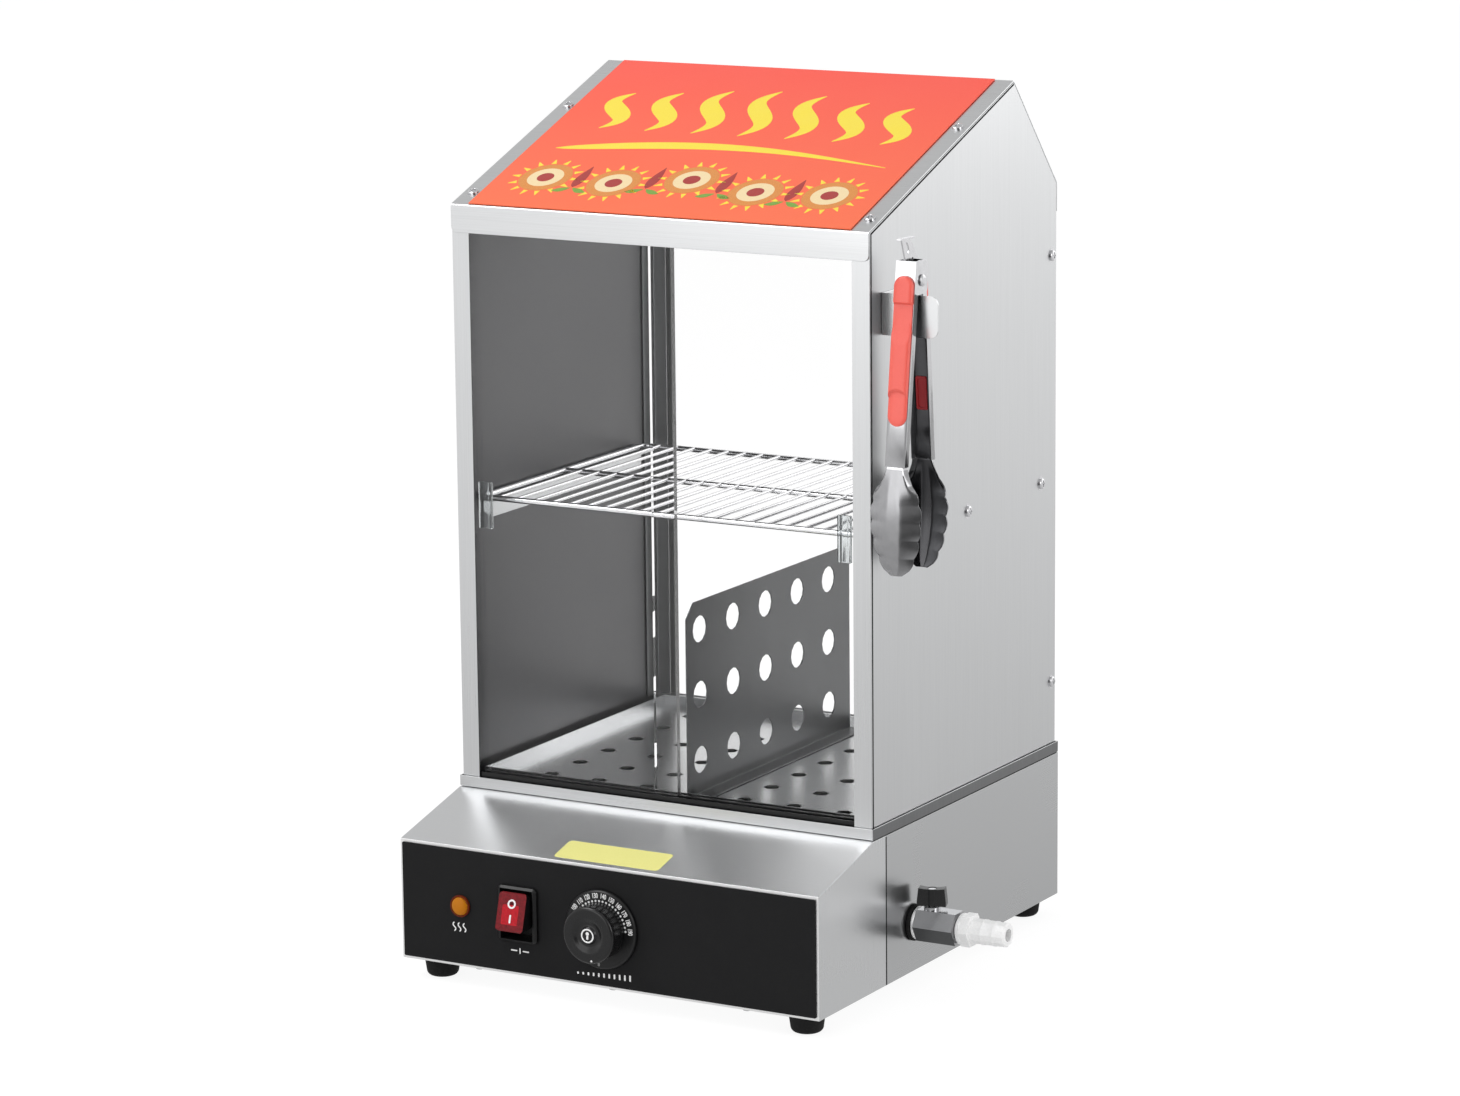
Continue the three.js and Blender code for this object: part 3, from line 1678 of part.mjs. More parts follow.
// Soft cover on the web: a crowned pad with round ends, dished for the thumb and for the heel of
// the hand, held by a plug through the web's window.
function tongGrip() {
  const rows = [...Array(gripRows + 1).keys()].map((i) => (1 - Math.cos((Math.PI * i) / gripRows)) / 2);
  const columns = [...Array(gripColumns + 1).keys()].map((j) => -Math.cos((Math.PI * j) / gripColumns));
  const layer = (raised) => rows.map((v) => columns.map((u) => gripPoint(u, v, raised)));
  const end = plugTop + plugLength;
  const inside = -armThickness - plugProud;
  const plug = outlineShape([
    overWeb(plugTop, gripThickness / 2),
    overWeb(plugTop, inside),
    overWeb(end, inside),
    overWeb(end, gripThickness / 2),
  ]);
  const recess = outlineShape([
    overWeb(plugTop + plugRim, inside + plugProud),
    overWeb(plugTop + plugRim, inside - overrun),
    overWeb(end - plugRim, inside - overrun),
    overWeb(end - plugRim, inside + plugProud),
  ]);
  const half = plugWidth / 2;
  return cut(
    join(
      solid(shellBetween(layer(true), layer(false))),
      alongX(plug, -half, half).intersect(plugWindow(seat)),
    ),
    alongX(recess, plugRim - half, half - plugRim),
  );
}

const gripRows = 14;
const gripColumns = 6;
const gripEndShare = 0.35;
const gripDishWidthShare = 0.82;

// A point of the pad: u across from -1 to 1 and v along from 0 to 1, on its crown or on its back.
function gripPoint(u, v, raised) {
  const down = -gripTop + v * (gripBottom + gripTop);
  const half = gripWidth / 2;
  const fromEnd = Math.min(down + gripTop, gripBottom - down, half) / half;
  const round = Math.sqrt(1 - (1 - fromEnd) ** 2);
  const width = half * (gripEndShare + (1 - gripEndShare) * round);
  const crown = Math.sqrt(1 - u ** 4) * round;
  const dishes = [
    [gripDishCentre, gripDishDepth],
    [gripHeelCentre, gripHeelDepth],
  ].map(([centre, depth]) => dish(u, down, centre, depth));
  const lift = gripEdge + (gripThickness - gripEdge) * crown - dishes[0] - dishes[1];
  const [y, z] = overWeb(down, raised ? seat + lift : seat);
  return new THREE.Vector3(u * width, y, z);
}

// Depth of an oval dish at a point of the pad.
function dish(u, down, centre, depth) {
  const across = u / gripDishWidthShare;
  const along = (2 * (down - centre)) / gripDishLength;
  return depth * Math.sqrt(Math.max(0, 1 - across ** 2 - along ** 2));
}

function rivet() {
  const inner = armWidth / 2 + seat;
  const end = inner + rivetHeadHeight;
  const head = rivetHeadDiameter / 2;
  const shank = rivetDiameter / 2;
  return turned(
    "x",
    [
      [0, -end],
      [head * rivetCrownShare, -end],
      [head, -inner - rivetHeadHeight / 2],
      [head, -inner],
      [shank, -inner],
      [shank, inner],
      [head, inner],
      [head, inner + rivetHeadHeight / 2],
      [head * rivetCrownShare, end],
      [0, end],
    ],
    [0, 0],
    smallSides,
  );
}

const rivetCrownShare = 0.6;

// Torsion spring: a short coil round the rivet, with a leg down the inside of each arm.
function tongSpring() {
  const steps = springStepsPerTurn * springTurns;
  const width = springPitch * springTurns;
  const start = pullTabOffset + (pullTabThickness + springWire) / 2 + springSideGap;
  const sweep = 2 * Math.PI * springTurns + Math.PI;
  const front = armThickness + seat + springWire / 2 - spreadAt(springLeg);
  const points = [new THREE.Vector3(start, front, -springLeg)];
  for (let i = 0; i <= steps; i += 1) {
    const angle = Math.PI - (sweep * i) / steps;
    const x = start + (width * i) / steps;
    points.push(new THREE.Vector3(x, springRadius * Math.cos(angle), springRadius * Math.sin(angle)));
  }
  points.push(new THREE.Vector3(start + width, springRearReach, -springLeg));
  const path = new THREE.CatmullRomCurve3(points, false, "centripetal");
  return solid(tube(path, springWire, wireSides - 1, steps + springStepsPerTurn));
}

const springStepsPerTurn = 9;

// Locking tab: a flat plate between the ears. Its slotted stem slides on the rivet, its shoulders
// stop on the ends of the webs and its top edge is folded into a pull bar.
function pullTab() {
  const x0 = pullTabOffset - pullTabThickness / 2;
  const x1 = pullTabOffset + pullTabThickness / 2;
  const stem = pullStemWidth / 2;
  const shoulder = armTop + seat;
  const barLow = pullTabTop - pullTabThickness;
  const plate = outlineShape([
    [-stem, -pullTabBottom],
    [stem, -pullTabBottom],
    [stem, shoulder],
    [pullShoulderRear, shoulder],
    [-pullTopRear, barLow + pullTabThickness / 2],
    [-pullTopFront, barLow + pullTabThickness / 2],
    [-pullShoulderFront, shoulder],
    [-stem, shoulder],
  ]);
  const slotHalf = rivetDiameter / 2 + seat;
  const slot = roundedRectangle(
    -slotHalf,
    slotHalf,
    -slotHalf - pullTabTravel,
    slotHalf,
    slotHalf - seat,
  );
  const lean = THREE.MathUtils.degToRad(pullHoleLean);
  const hole = new THREE.Shape();
  hole.absellipse(
    pullHoleY,
    pullHoleZ,
    pullHoleWidth / 2,
    pullHoleLength / 2,
    0,
    2 * Math.PI,
    false,
    lean,
  );
  const keyHalf = pullKeyWidth / 2;
  const key = roundedRectangle(
    pullKeyY - keyHalf,
    pullKeyY + keyHalf,
    pullKeyZ - pullKeyLength / 2,
    pullKeyZ + pullKeyLength / 2,
    keyHalf - weld,
  );
  const bar = block(x1 - pullBarDepth, x1, -pullBarFront, pullBarRear, barLow, pullTabTop);
  return cut(
    join(alongX(plate, x0, x1), bar),
    alongX(slot, x0 - overrun, x1 + overrun),
    alongX(hole, x0 - overrun, x1 + overrun),
    alongX(key, x0 - overrun, x1 + overrun),
  );
}

function tongs() {
  const innerEar = armWidth - 2 * armThickness - 2 * earNestGap;
  const front = part("tong_arm_front", tongArm(armWidth, earReach), "brightSteel");
  const rear = part("tong_arm_rear", tongArm(innerEar, nestedEarReach), "brightSteel");
  const frontGrip = part("tong_grip_front", tongGrip(), "coral");
  const rearGrip = part("tong_grip_rear", tongGrip(), "coral");
  const rearSide = assembly(rear, rearGrip);
  rearSide.rotation.z = Math.PI;
  const group = assembly(
    front,
    frontGrip,
    rearSide,
    part("tong_rivet", rivet(), "steel"),
    part("tong_spring", tongSpring(), "steel"),
    part("tong_pull_tab", pullTab(), "brightSteel"),
  );
  group.position.set(tongsX, tongsPivotY, holderTop + seat + earBottom);
  group.rotation.x = -THREE.MathUtils.degToRad(tongsLean);
  return group;
}

function steamer() {
  return assembly(
    part("side_panel_left", sidePanel(-1), "steel"),
    part("side_panel_right", sidePanel(1), "steel"),
    part("roof_panel", roofPanel(), "steel"),
    roofSign(),
    part("base_rim", baseRim(), "steel"),
    part("base_shell", baseShell(), "steel"),
    part("control_housing", controlHousing(), "steel"),
    part("control_panel", controlPanel(), "blackPanel"),
    part("bottom_plate", bottomPlate(), "steel"),
    ...feet(),
    part("water_tank", waterTank(), "steel"),
    part("heating_element", heatingElement(), "darkSteel"),
    part("heater_flange", heaterFlange(), "steel"),
    part("thermostat_bulb", thermostatBulb(), "copper"),
    part("perforated_tray", tray(), "steel"),
    part("partition_plate", partition(), "darkSteel"),
    part("shelf_support_left", shelfSupport(-1), "steel"),
    part("shelf_support_right", shelfSupport(1), "steel"),
    part("wire_shelf", wireShelf(), "brightSteel"),
    doors(),
    rearGlazing(),
    lamp(),
    part("switch_frame", switchFrame(), "blackPlastic"),
    switchRocker(),
    part("thermostat_body", thermostat(), "ceramic"),
    knob(),
    part("terminal_block", terminalBlock(), "ceramic"),
    part("cable_gland", cableGland(), "blackPlastic"),
    drainValve(),
    part("tong_holder", tongHolder(), "brightSteel"),
    tongs(),
  );
}

// The origin is under the middle of the whole, on the surface that the feet stand on.
const model = steamer();
const extent = new THREE.Box3().setFromObject(model);
const middle = extent.getCenter(new THREE.Vector3());
model.position.set(-middle.x, -middle.y, -extent.min.z);
const root = new THREE.Group();
root.name = "hot_dog_steamer";
root.add(model);

export default root;
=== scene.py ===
"""Visual model of a countertop hot dog steamer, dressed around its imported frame.

Metres, +Z up. Each sub-assembly is a class with its sizes as fields and methods that build and
dress its pieces, and each finish is a frozen dataclass that makes one procedural material.
"""
import json
import logging
import math
from dataclasses import dataclass, replace
from enum import Enum
from typing import Any, Callable, List, Mapping, Optional, Sequence, Tuple

import bmesh
import bpy
from mathutils import Matrix, Quaternion, Vector

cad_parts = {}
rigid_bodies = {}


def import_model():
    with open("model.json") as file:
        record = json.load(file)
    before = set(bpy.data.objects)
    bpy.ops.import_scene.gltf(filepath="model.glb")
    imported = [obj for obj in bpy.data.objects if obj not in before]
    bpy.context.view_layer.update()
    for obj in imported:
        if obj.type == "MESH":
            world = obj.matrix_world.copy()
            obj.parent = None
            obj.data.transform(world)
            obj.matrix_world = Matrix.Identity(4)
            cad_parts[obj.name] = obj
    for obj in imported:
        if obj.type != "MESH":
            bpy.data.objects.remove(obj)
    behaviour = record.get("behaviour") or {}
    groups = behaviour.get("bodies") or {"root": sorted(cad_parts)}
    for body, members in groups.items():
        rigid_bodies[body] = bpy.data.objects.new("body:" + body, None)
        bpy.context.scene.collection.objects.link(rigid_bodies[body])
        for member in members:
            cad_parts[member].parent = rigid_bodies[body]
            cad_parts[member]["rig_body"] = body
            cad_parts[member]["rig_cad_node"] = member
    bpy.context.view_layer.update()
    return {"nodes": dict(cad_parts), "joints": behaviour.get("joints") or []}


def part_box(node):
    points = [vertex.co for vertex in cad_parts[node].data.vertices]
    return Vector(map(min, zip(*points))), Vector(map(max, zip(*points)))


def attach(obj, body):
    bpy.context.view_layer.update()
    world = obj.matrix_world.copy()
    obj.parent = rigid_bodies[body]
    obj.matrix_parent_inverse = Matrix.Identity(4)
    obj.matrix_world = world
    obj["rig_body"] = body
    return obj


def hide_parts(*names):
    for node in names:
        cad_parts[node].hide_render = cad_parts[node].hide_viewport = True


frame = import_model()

LOG = logging.getLogger("steamer")
MM = 0.001
TAU = 2 * math.pi
X_AXIS, Y_AXIS, Z_AXIS = Vector((1, 0, 0)), Vector((0, 1, 0)), Vector((0, 0, 1))
# Share of a normal along an axis past which a face counts as facing that way.
FACING = 0.6

Piece = bpy.types.Object
Point = Tuple[float, float]
Outline = Sequence[Point]


def colour(code: str) -> Tuple[float, ...]:
    """The linear colour of a six-digit code, such as d8d8d8."""
    shares = [int(code[i:i + 2], 16) / 255 for i in (0, 2, 4)]
    return (*(s / 12.92 if s <= 0.04045 else ((s + 0.055) / 1.055) ** 2.4 for s in shares), 1.0)


def pivot(joint: str) -> Vector:
    """The place of a joint's axis."""
    return Vector(next(row for row in frame["joints"] if row["name"] == joint)["pos_m"])


@dataclass(frozen=True)
class Box:
    """The box of a node at rest.

    Attributes:
        low: Its lowest corner in metres.
        high: Its highest corner.
    """

    low: Vector
    high: Vector

    @classmethod
    def of(cls, node: str) -> "Box":
        """The box of a node."""
        return cls(*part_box(node))

    @property
    def middle(self) -> Vector:
        """Its middle."""
        return (self.low + self.high) / 2

    @property
    def front(self) -> Vector:
        """The middle of its front face."""
        return Vector((self.middle.x, self.low.y, self.middle.z))

    @property
    def size(self) -> Vector:
        """Its length along each axis in millimetres."""
        return (self.high - self.low) / MM


@dataclass(frozen=True)
class Board:
    """A place to draw on, measured in millimetres from its zero.

    Attributes:
        origin: The place of its zero in metres.
        right: Direction of its first measure.
        up: Direction of its second measure.
        out: Direction in which a drawing is raised.
    """

    origin: Vector
    right: Vector
    up: Vector
    out: Vector

    @classmethod
    def upright(cls, origin: Vector) -> "Board":
        """A board that faces the user."""
        return cls(origin, X_AXIS, Z_AXIS, -Y_AXIS)

    def at(self, a: float, b: float, lift: float) -> Vector:
        """A place on it or at a height over it."""
        return self.origin + (self.right * a + self.up * b + self.out * lift) * MM

    def moved(self, a: float, b: float, lift: float) -> "Board":
        """The same board with its zero at another place."""
        return replace(self, origin=self.at(a, b, lift))


def datum() -> Board:
    """Axes at the front posts, in the middle of the cabinet and on the console's underside.

    Returns:
        The board on the console's underside, with height as its out direction.
    """
    left, right = Box.of("side_panel_left"), Box.of("side_panel_right")
    low = Vector(((left.low.x + right.high.x) / 2, left.low.y, Box.of("control_housing").low.z))
    return Board(low, X_AXIS, Y_AXIS, Z_AXIS)


DATUM = datum()


class Grain(Enum):
    """Directions of a brushed finish, as the stretch of its streaks along X, Y and Z."""

    ACROSS = (14.0, 2200.0, 2200.0)
    DEEP = (2200.0, 14.0, 2200.0)
    UPRIGHT = (2200.0, 2200.0, 14.0)
    NONE = (160.0, 160.0, 160.0)


@dataclass(frozen=True)
class Graph:
    """Short-hand for building one node tree.

    Attributes:
        tree: The tree that the nodes go into.
    """

    tree: bpy.types.NodeTree

    def add(self, kind: str, inputs: Optional[Mapping[Any, Any]] = None, **settings: Any) -> Any:
        """Adds one shader node.

        Args:
            kind: The node's type without its ShaderNode prefix.
            inputs: Sockets by name or place; a socket given here is linked, other values are set.
            settings: Attributes of the node.

        Returns:
            The new node.
        """
        node = self.tree.nodes.new("ShaderNode" + kind)
        for key, value in settings.items():
            setattr(node, key, value)
        for key, value in (inputs or {}).items():
            if isinstance(value, bpy.types.NodeSocket):
                self.tree.links.new(value, node.inputs[key])
            else:
                node.inputs[key].default_value = value
        return node

    def place(self) -> Any:
        """The socket with the object's own coordinates, in metres."""
        return self.add("TexCoord").outputs["Object"]

    def math(self, operation: str, *values: Any, **settings: Any) -> Any:
        """The outcome of an operation on values or sockets."""
        inputs = dict(enumerate(values))
        return self.add("Math", inputs, operation=operation, **settings).outputs[0]

    def vector(self, operation: str, *values: Any) -> Any:
        """The outcome of a vector operation."""
        node = self.add("VectorMath", dict(enumerate(values)), operation=operation)
        return node.outputs["Value" if operation in ("DOT_PRODUCT", "LENGTH") else "Vector"]

    def span(self, value: Any, low: Any = 0.0, high: Any = 1.0, start: float = 0.0,
             end: float = 1.0) -> Any:
        """Spreads a value from its start and end over a low and a high number, held at both."""
        ends = {"Value": value, "To Min": low, "To Max": high, "From Min": start, "From Max": end}
        return self.add("MapRange", ends).outputs["Result"]

    def blend(self, share: Any, first: Any, second: Any) -> Any:
        """A colour between two colours."""
        mix = self.add("Mix", {0: share, 6: first, 7: second}, data_type="RGBA")
        return mix.outputs[2]

    def bump(self, height: Any, strength: float, distance: float) -> Any:
        """A normal socket that a height raises."""
        node = self.add("Bump", {"Height": height, "Strength": strength, "Distance": distance})
        return node.outputs["Normal"]

    def surface(self, inputs: Mapping[str, Any]) -> Any:
        """Adds the surface's main shader with its inputs and returns its socket."""
        return self.add("BsdfPrincipled", inputs).outputs["BSDF"]

    def mixed(self, share: Any, first: Any, second: Any) -> Any:
        """A shader between two shaders."""
        return self.add("MixShader", {0: share, 1: first, 2: second}).outputs[0]


def dressed(label: str, build: Callable[[Graph], Any]) -> bpy.types.Material:
    """Makes a material.

    Args:
        label: Its name.
        build: Builds its shader in a graph and returns the shader's socket.

    Returns:
        The new material.
    """
    material = bpy.data.materials.new(label)
    material.use_nodes = True
    material.node_tree.nodes.clear()
    graph = Graph(material.node_tree)
    graph.add("OutputMaterial", {"Surface": build(graph)})
    return material


class Effect(Enum):
    """Shader effects that several finishes share, each a node group built once."""

    STREAKS = "fine streaks"
    CLOUDS = "soft clouds"
    PEBBLES = "moulded pebbles"

    def tree(self) -> bpy.types.NodeTree:
        """The effect's node group, made on first use.

        Returns:
            The group's tree.
        """
        found = bpy.data.node_groups.get(self.value)
        if found is None:
            found = bpy.data.node_groups.new(self.value, "ShaderNodeTree")
            self._fill(found)
        return found

    def _fill(self, tree: bpy.types.NodeTree) -> None:
        """Builds the sockets and nodes of a new group.

        Args:
            tree: The group's tree.
        """
        for name in ("Place", "Stretch", "Low", "High"):
            kind = "NodeSocketVector" if name in ("Place", "Stretch") else "NodeSocketFloat"
            tree.interface.new_socket(name, in_out="INPUT", socket_type=kind)
        tree.interface.new_socket("Amount", in_out="OUTPUT", socket_type="NodeSocketFloat")
        graph, entry = Graph(tree), tree.nodes.new("NodeGroupInput").outputs
        inputs = {"Vector": graph.vector("MULTIPLY", entry["Place"], entry["Stretch"]),
                  "Scale": 1.0}
        if self is Effect.PEBBLES:
            raw = graph.add("TexVoronoi", inputs).outputs["Distance"]
        else:
            inputs["Detail"] = 4.0 if self is Effect.STREAKS else 1.5
            raw = graph.add("TexNoise", inputs).outputs["Fac"]
        shaped = graph.span(raw, start=0.3, end=0.7)
        leave = tree.nodes.new("NodeGroupOutput")
        tree.links.new(graph.span(shaped, entry["Low"], entry["High"]), leave.inputs["Amount"])

    def amount(self, graph: Graph, stretch: Sequence[float], low: float, high: float) -> Any:
        """The effect from a low to a high value, repeated so often per metre on each axis."""
        inputs = {"Place": graph.place(), "Stretch": stretch, "Low": low, "High": high}
        return graph.add("Group", inputs, node_tree=self.tree()).outputs["Amount"]


@dataclass(frozen=True)
class Finish:
    """One finish of the product.

    Attributes:
        label: The material's name.
    """

    label: str

    def material(self) -> bpy.types.Material:
        """The finish's material, made on first use."""
        return bpy.data.materials.get(self.label) or dressed(self.label, self.build)

    def build(self, graph: Graph) -> Any:
        """Builds the finish's shader in a material's graph and returns its socket."""
        raise NotImplementedError


@dataclass(frozen=True)
class Steel(Finish):
    """Stainless steel with a brushed grain and faint handling clouds.

    Attributes:
        tone: Colour code of the lightest streaks.
        shade: Colour code of the darkest streaks.
        grain: Direction of the streaks.
        roughness: Middle roughness.
        depth: Height of the streaks in metres.
        play: How far the roughness of the streaks goes to each side.
    """

    tone: str
    shade: str
    grain: Grain
    roughness: float
    depth: float = 1e-6
    play: float = 0.015

    def build(self, graph: Graph) -> Any:
        """Mixes the tone and roughness by the streaks, with clouds over both.

        Args:
            graph: The material's graph.

        Returns:
            The shader's socket.
        """
        streak = Effect.STREAKS.amount(graph, self.grain.value, 0.0, 1.0)
        cloud = Effect.CLOUDS.amount(graph, (7.0,) * 3, -0.03, 0.03)
        rough = graph.span(streak, self.roughness - self.play, self.roughness + self.play)
        return graph.surface({
            "Base Color": graph.blend(streak, colour(self.shade), colour(self.tone)),
            "Metallic": 1.0,
            "Roughness": graph.math("ADD", rough, cloud),
            "Normal": graph.bump(streak, 0.35, self.depth),
        })


@dataclass(frozen=True)
class Moulding(Finish):
    """Moulded plastic, rubber, ceramic or ink with a pebbled skin.

    Attributes:
        tone: Colour code.
        shade: Colour code of the hollows of the skin.
        roughness: Middle roughness.
        pebble: Pebbles per metre.
        depth: Height of the pebbles in metres.
        coat: Share of clear gloss on top.
        glow: Share of light that passes under the skin.
        gloss: Strength of the skin's own gloss, 0.5 for plain plastic.
    """

    tone: str
    shade: str
    roughness: float
    pebble: float = 1400.0
    depth: float = 3e-5
    coat: float = 0.0
    glow: float = 0.0
    gloss: float = 0.5

    def build(self, graph: Graph) -> Any:
        """Pebbles shade the colour and raise the skin; clouds vary the roughness.

        Args:
            graph: The material's graph.

        Returns:
            The shader's socket.
        """
        grit = Effect.PEBBLES.amount(graph, (self.pebble,) * 3, 0.0, 1.0)
        low, high = self.roughness - 0.06, self.roughness + 0.06
        return graph.surface({
            "Base Color": graph.blend(grit, colour(self.shade), colour(self.tone)),
            "Roughness": Effect.CLOUDS.amount(graph, (60.0,) * 3, low, high),
            "Specular IOR Level": self.gloss,
            "Coat Weight": self.coat,
            "Coat Roughness": 0.08,
            "Subsurface Weight": self.glow,
            "Subsurface Scale": 0.003,
            "Normal": graph.bump(grit, 0.4, self.depth),
        })


@dataclass(frozen=True)
class Glass(Finish):
    """Clear tempered glass or clear plastic, which lets light and shadow rays through.

    Attributes:
        tone: Colour code of its tint.
        roughness: Roughness of the cleanest places.
        bending: Refractive index, kept low where four panes stand behind each other.
    """

    tone: str = "ffffff"
    roughness: float = 0.0
    bending: float = 1.24

    def build(self, graph: Graph) -> Any:
        """A refracting surface with a trace of haze, clear to shadow rays.

        Args:
            graph: The material's graph.

        Returns:
            The shader's socket.
        """
        pane = graph.surface({
            "Base Color": colour(self.tone),
            "Roughness": Effect.CLOUDS.amount(graph, (14.0,) * 3, self.roughness,
                                              self.roughness + 0.004),
            "IOR": self.bending,
            "Transmission Weight": 1.0,
        })
        clear = graph.add("BsdfTransparent", {"Color": colour(self.tone)}).outputs["BSDF"]
        return graph.mixed(graph.add("LightPath").outputs["Is Shadow Ray"], pane, clear)


@dataclass(frozen=True)
class Film(Finish):
    """Printed gloss film whose colour runs down the roof's slope.

    Attributes:
        low: Colour code at the lower edge.
        high: Colour code at the upper edge.
    """

    low: str = "ff6f43"
    high: str = "ff5444"

    def build(self, graph: Graph) -> Any:
        """A ramp from front to rear with a faint print grain under a clear coat.

        Args:
            graph: The material's graph.

        Returns:
            The shader's socket.
        """
        box = Box.of("roof_sign")
        along = graph.add("SeparateXYZ", {0: graph.place()}).outputs["Y"]
        run = graph.span(along, start=box.low.y, end=box.high.y)
        grain = Effect.PEBBLES.amount(graph, (2200.0,) * 3, 0.0, 0.03)
        ramp = graph.blend(run, colour(self.low), colour(self.high))
        return graph.surface({
            "Base Color": graph.blend(grain, ramp, colour("ffd0a0")),
            "Roughness": Effect.CLOUDS.amount(graph, (12.0,) * 3, 0.32, 0.42),
            "Specular IOR Level": 0.3,
            "Coat Weight": 0.15,
            "Coat Roughness": 0.2,
            "Normal": graph.bump(grain, 0.2, 3e-6),
        })


@dataclass(frozen=True)
class Lens(Finish):
    """Clear coloured plastic with a net of facets moulded inside.

    Attributes:
        tone: Colour code of the facets.
        shade: Colour code of the lines between them.
        pitch: Facets per metre.
    """

    tone: str = "ee9808"
    shade: str = "7a3604"
    pitch: float = 520.0

    def build(self, graph: Graph) -> Any:
        """Crossed waves in the plane of the panel make the net.

        Args:
            graph: The material's graph.

        Returns:
            The shader's socket.
        """
        split = graph.add("SeparateXYZ", {0: graph.place()}).outputs
        lines = []
        for sign in (1.0, -1.0):
            tilted = graph.math("MULTIPLY_ADD", split["X"], sign, split["Z"])
            wave = graph.math("SINE", graph.math("MULTIPLY", tilted, self.pitch * math.pi))
            lines.append(graph.math("ABSOLUTE", wave))
        net = graph.math("MINIMUM", *lines)
        return graph.surface({
            "Base Color": graph.blend(net, colour(self.shade), colour(self.tone)),
            "Roughness": graph.span(net, 0.3, 0.2),
            "Specular IOR Level": 0.15,
            "Coat Weight": 0.08,
            "Coat Roughness": 0.06,
            "Normal": graph.bump(net, 0.25, 6e-5),
        })


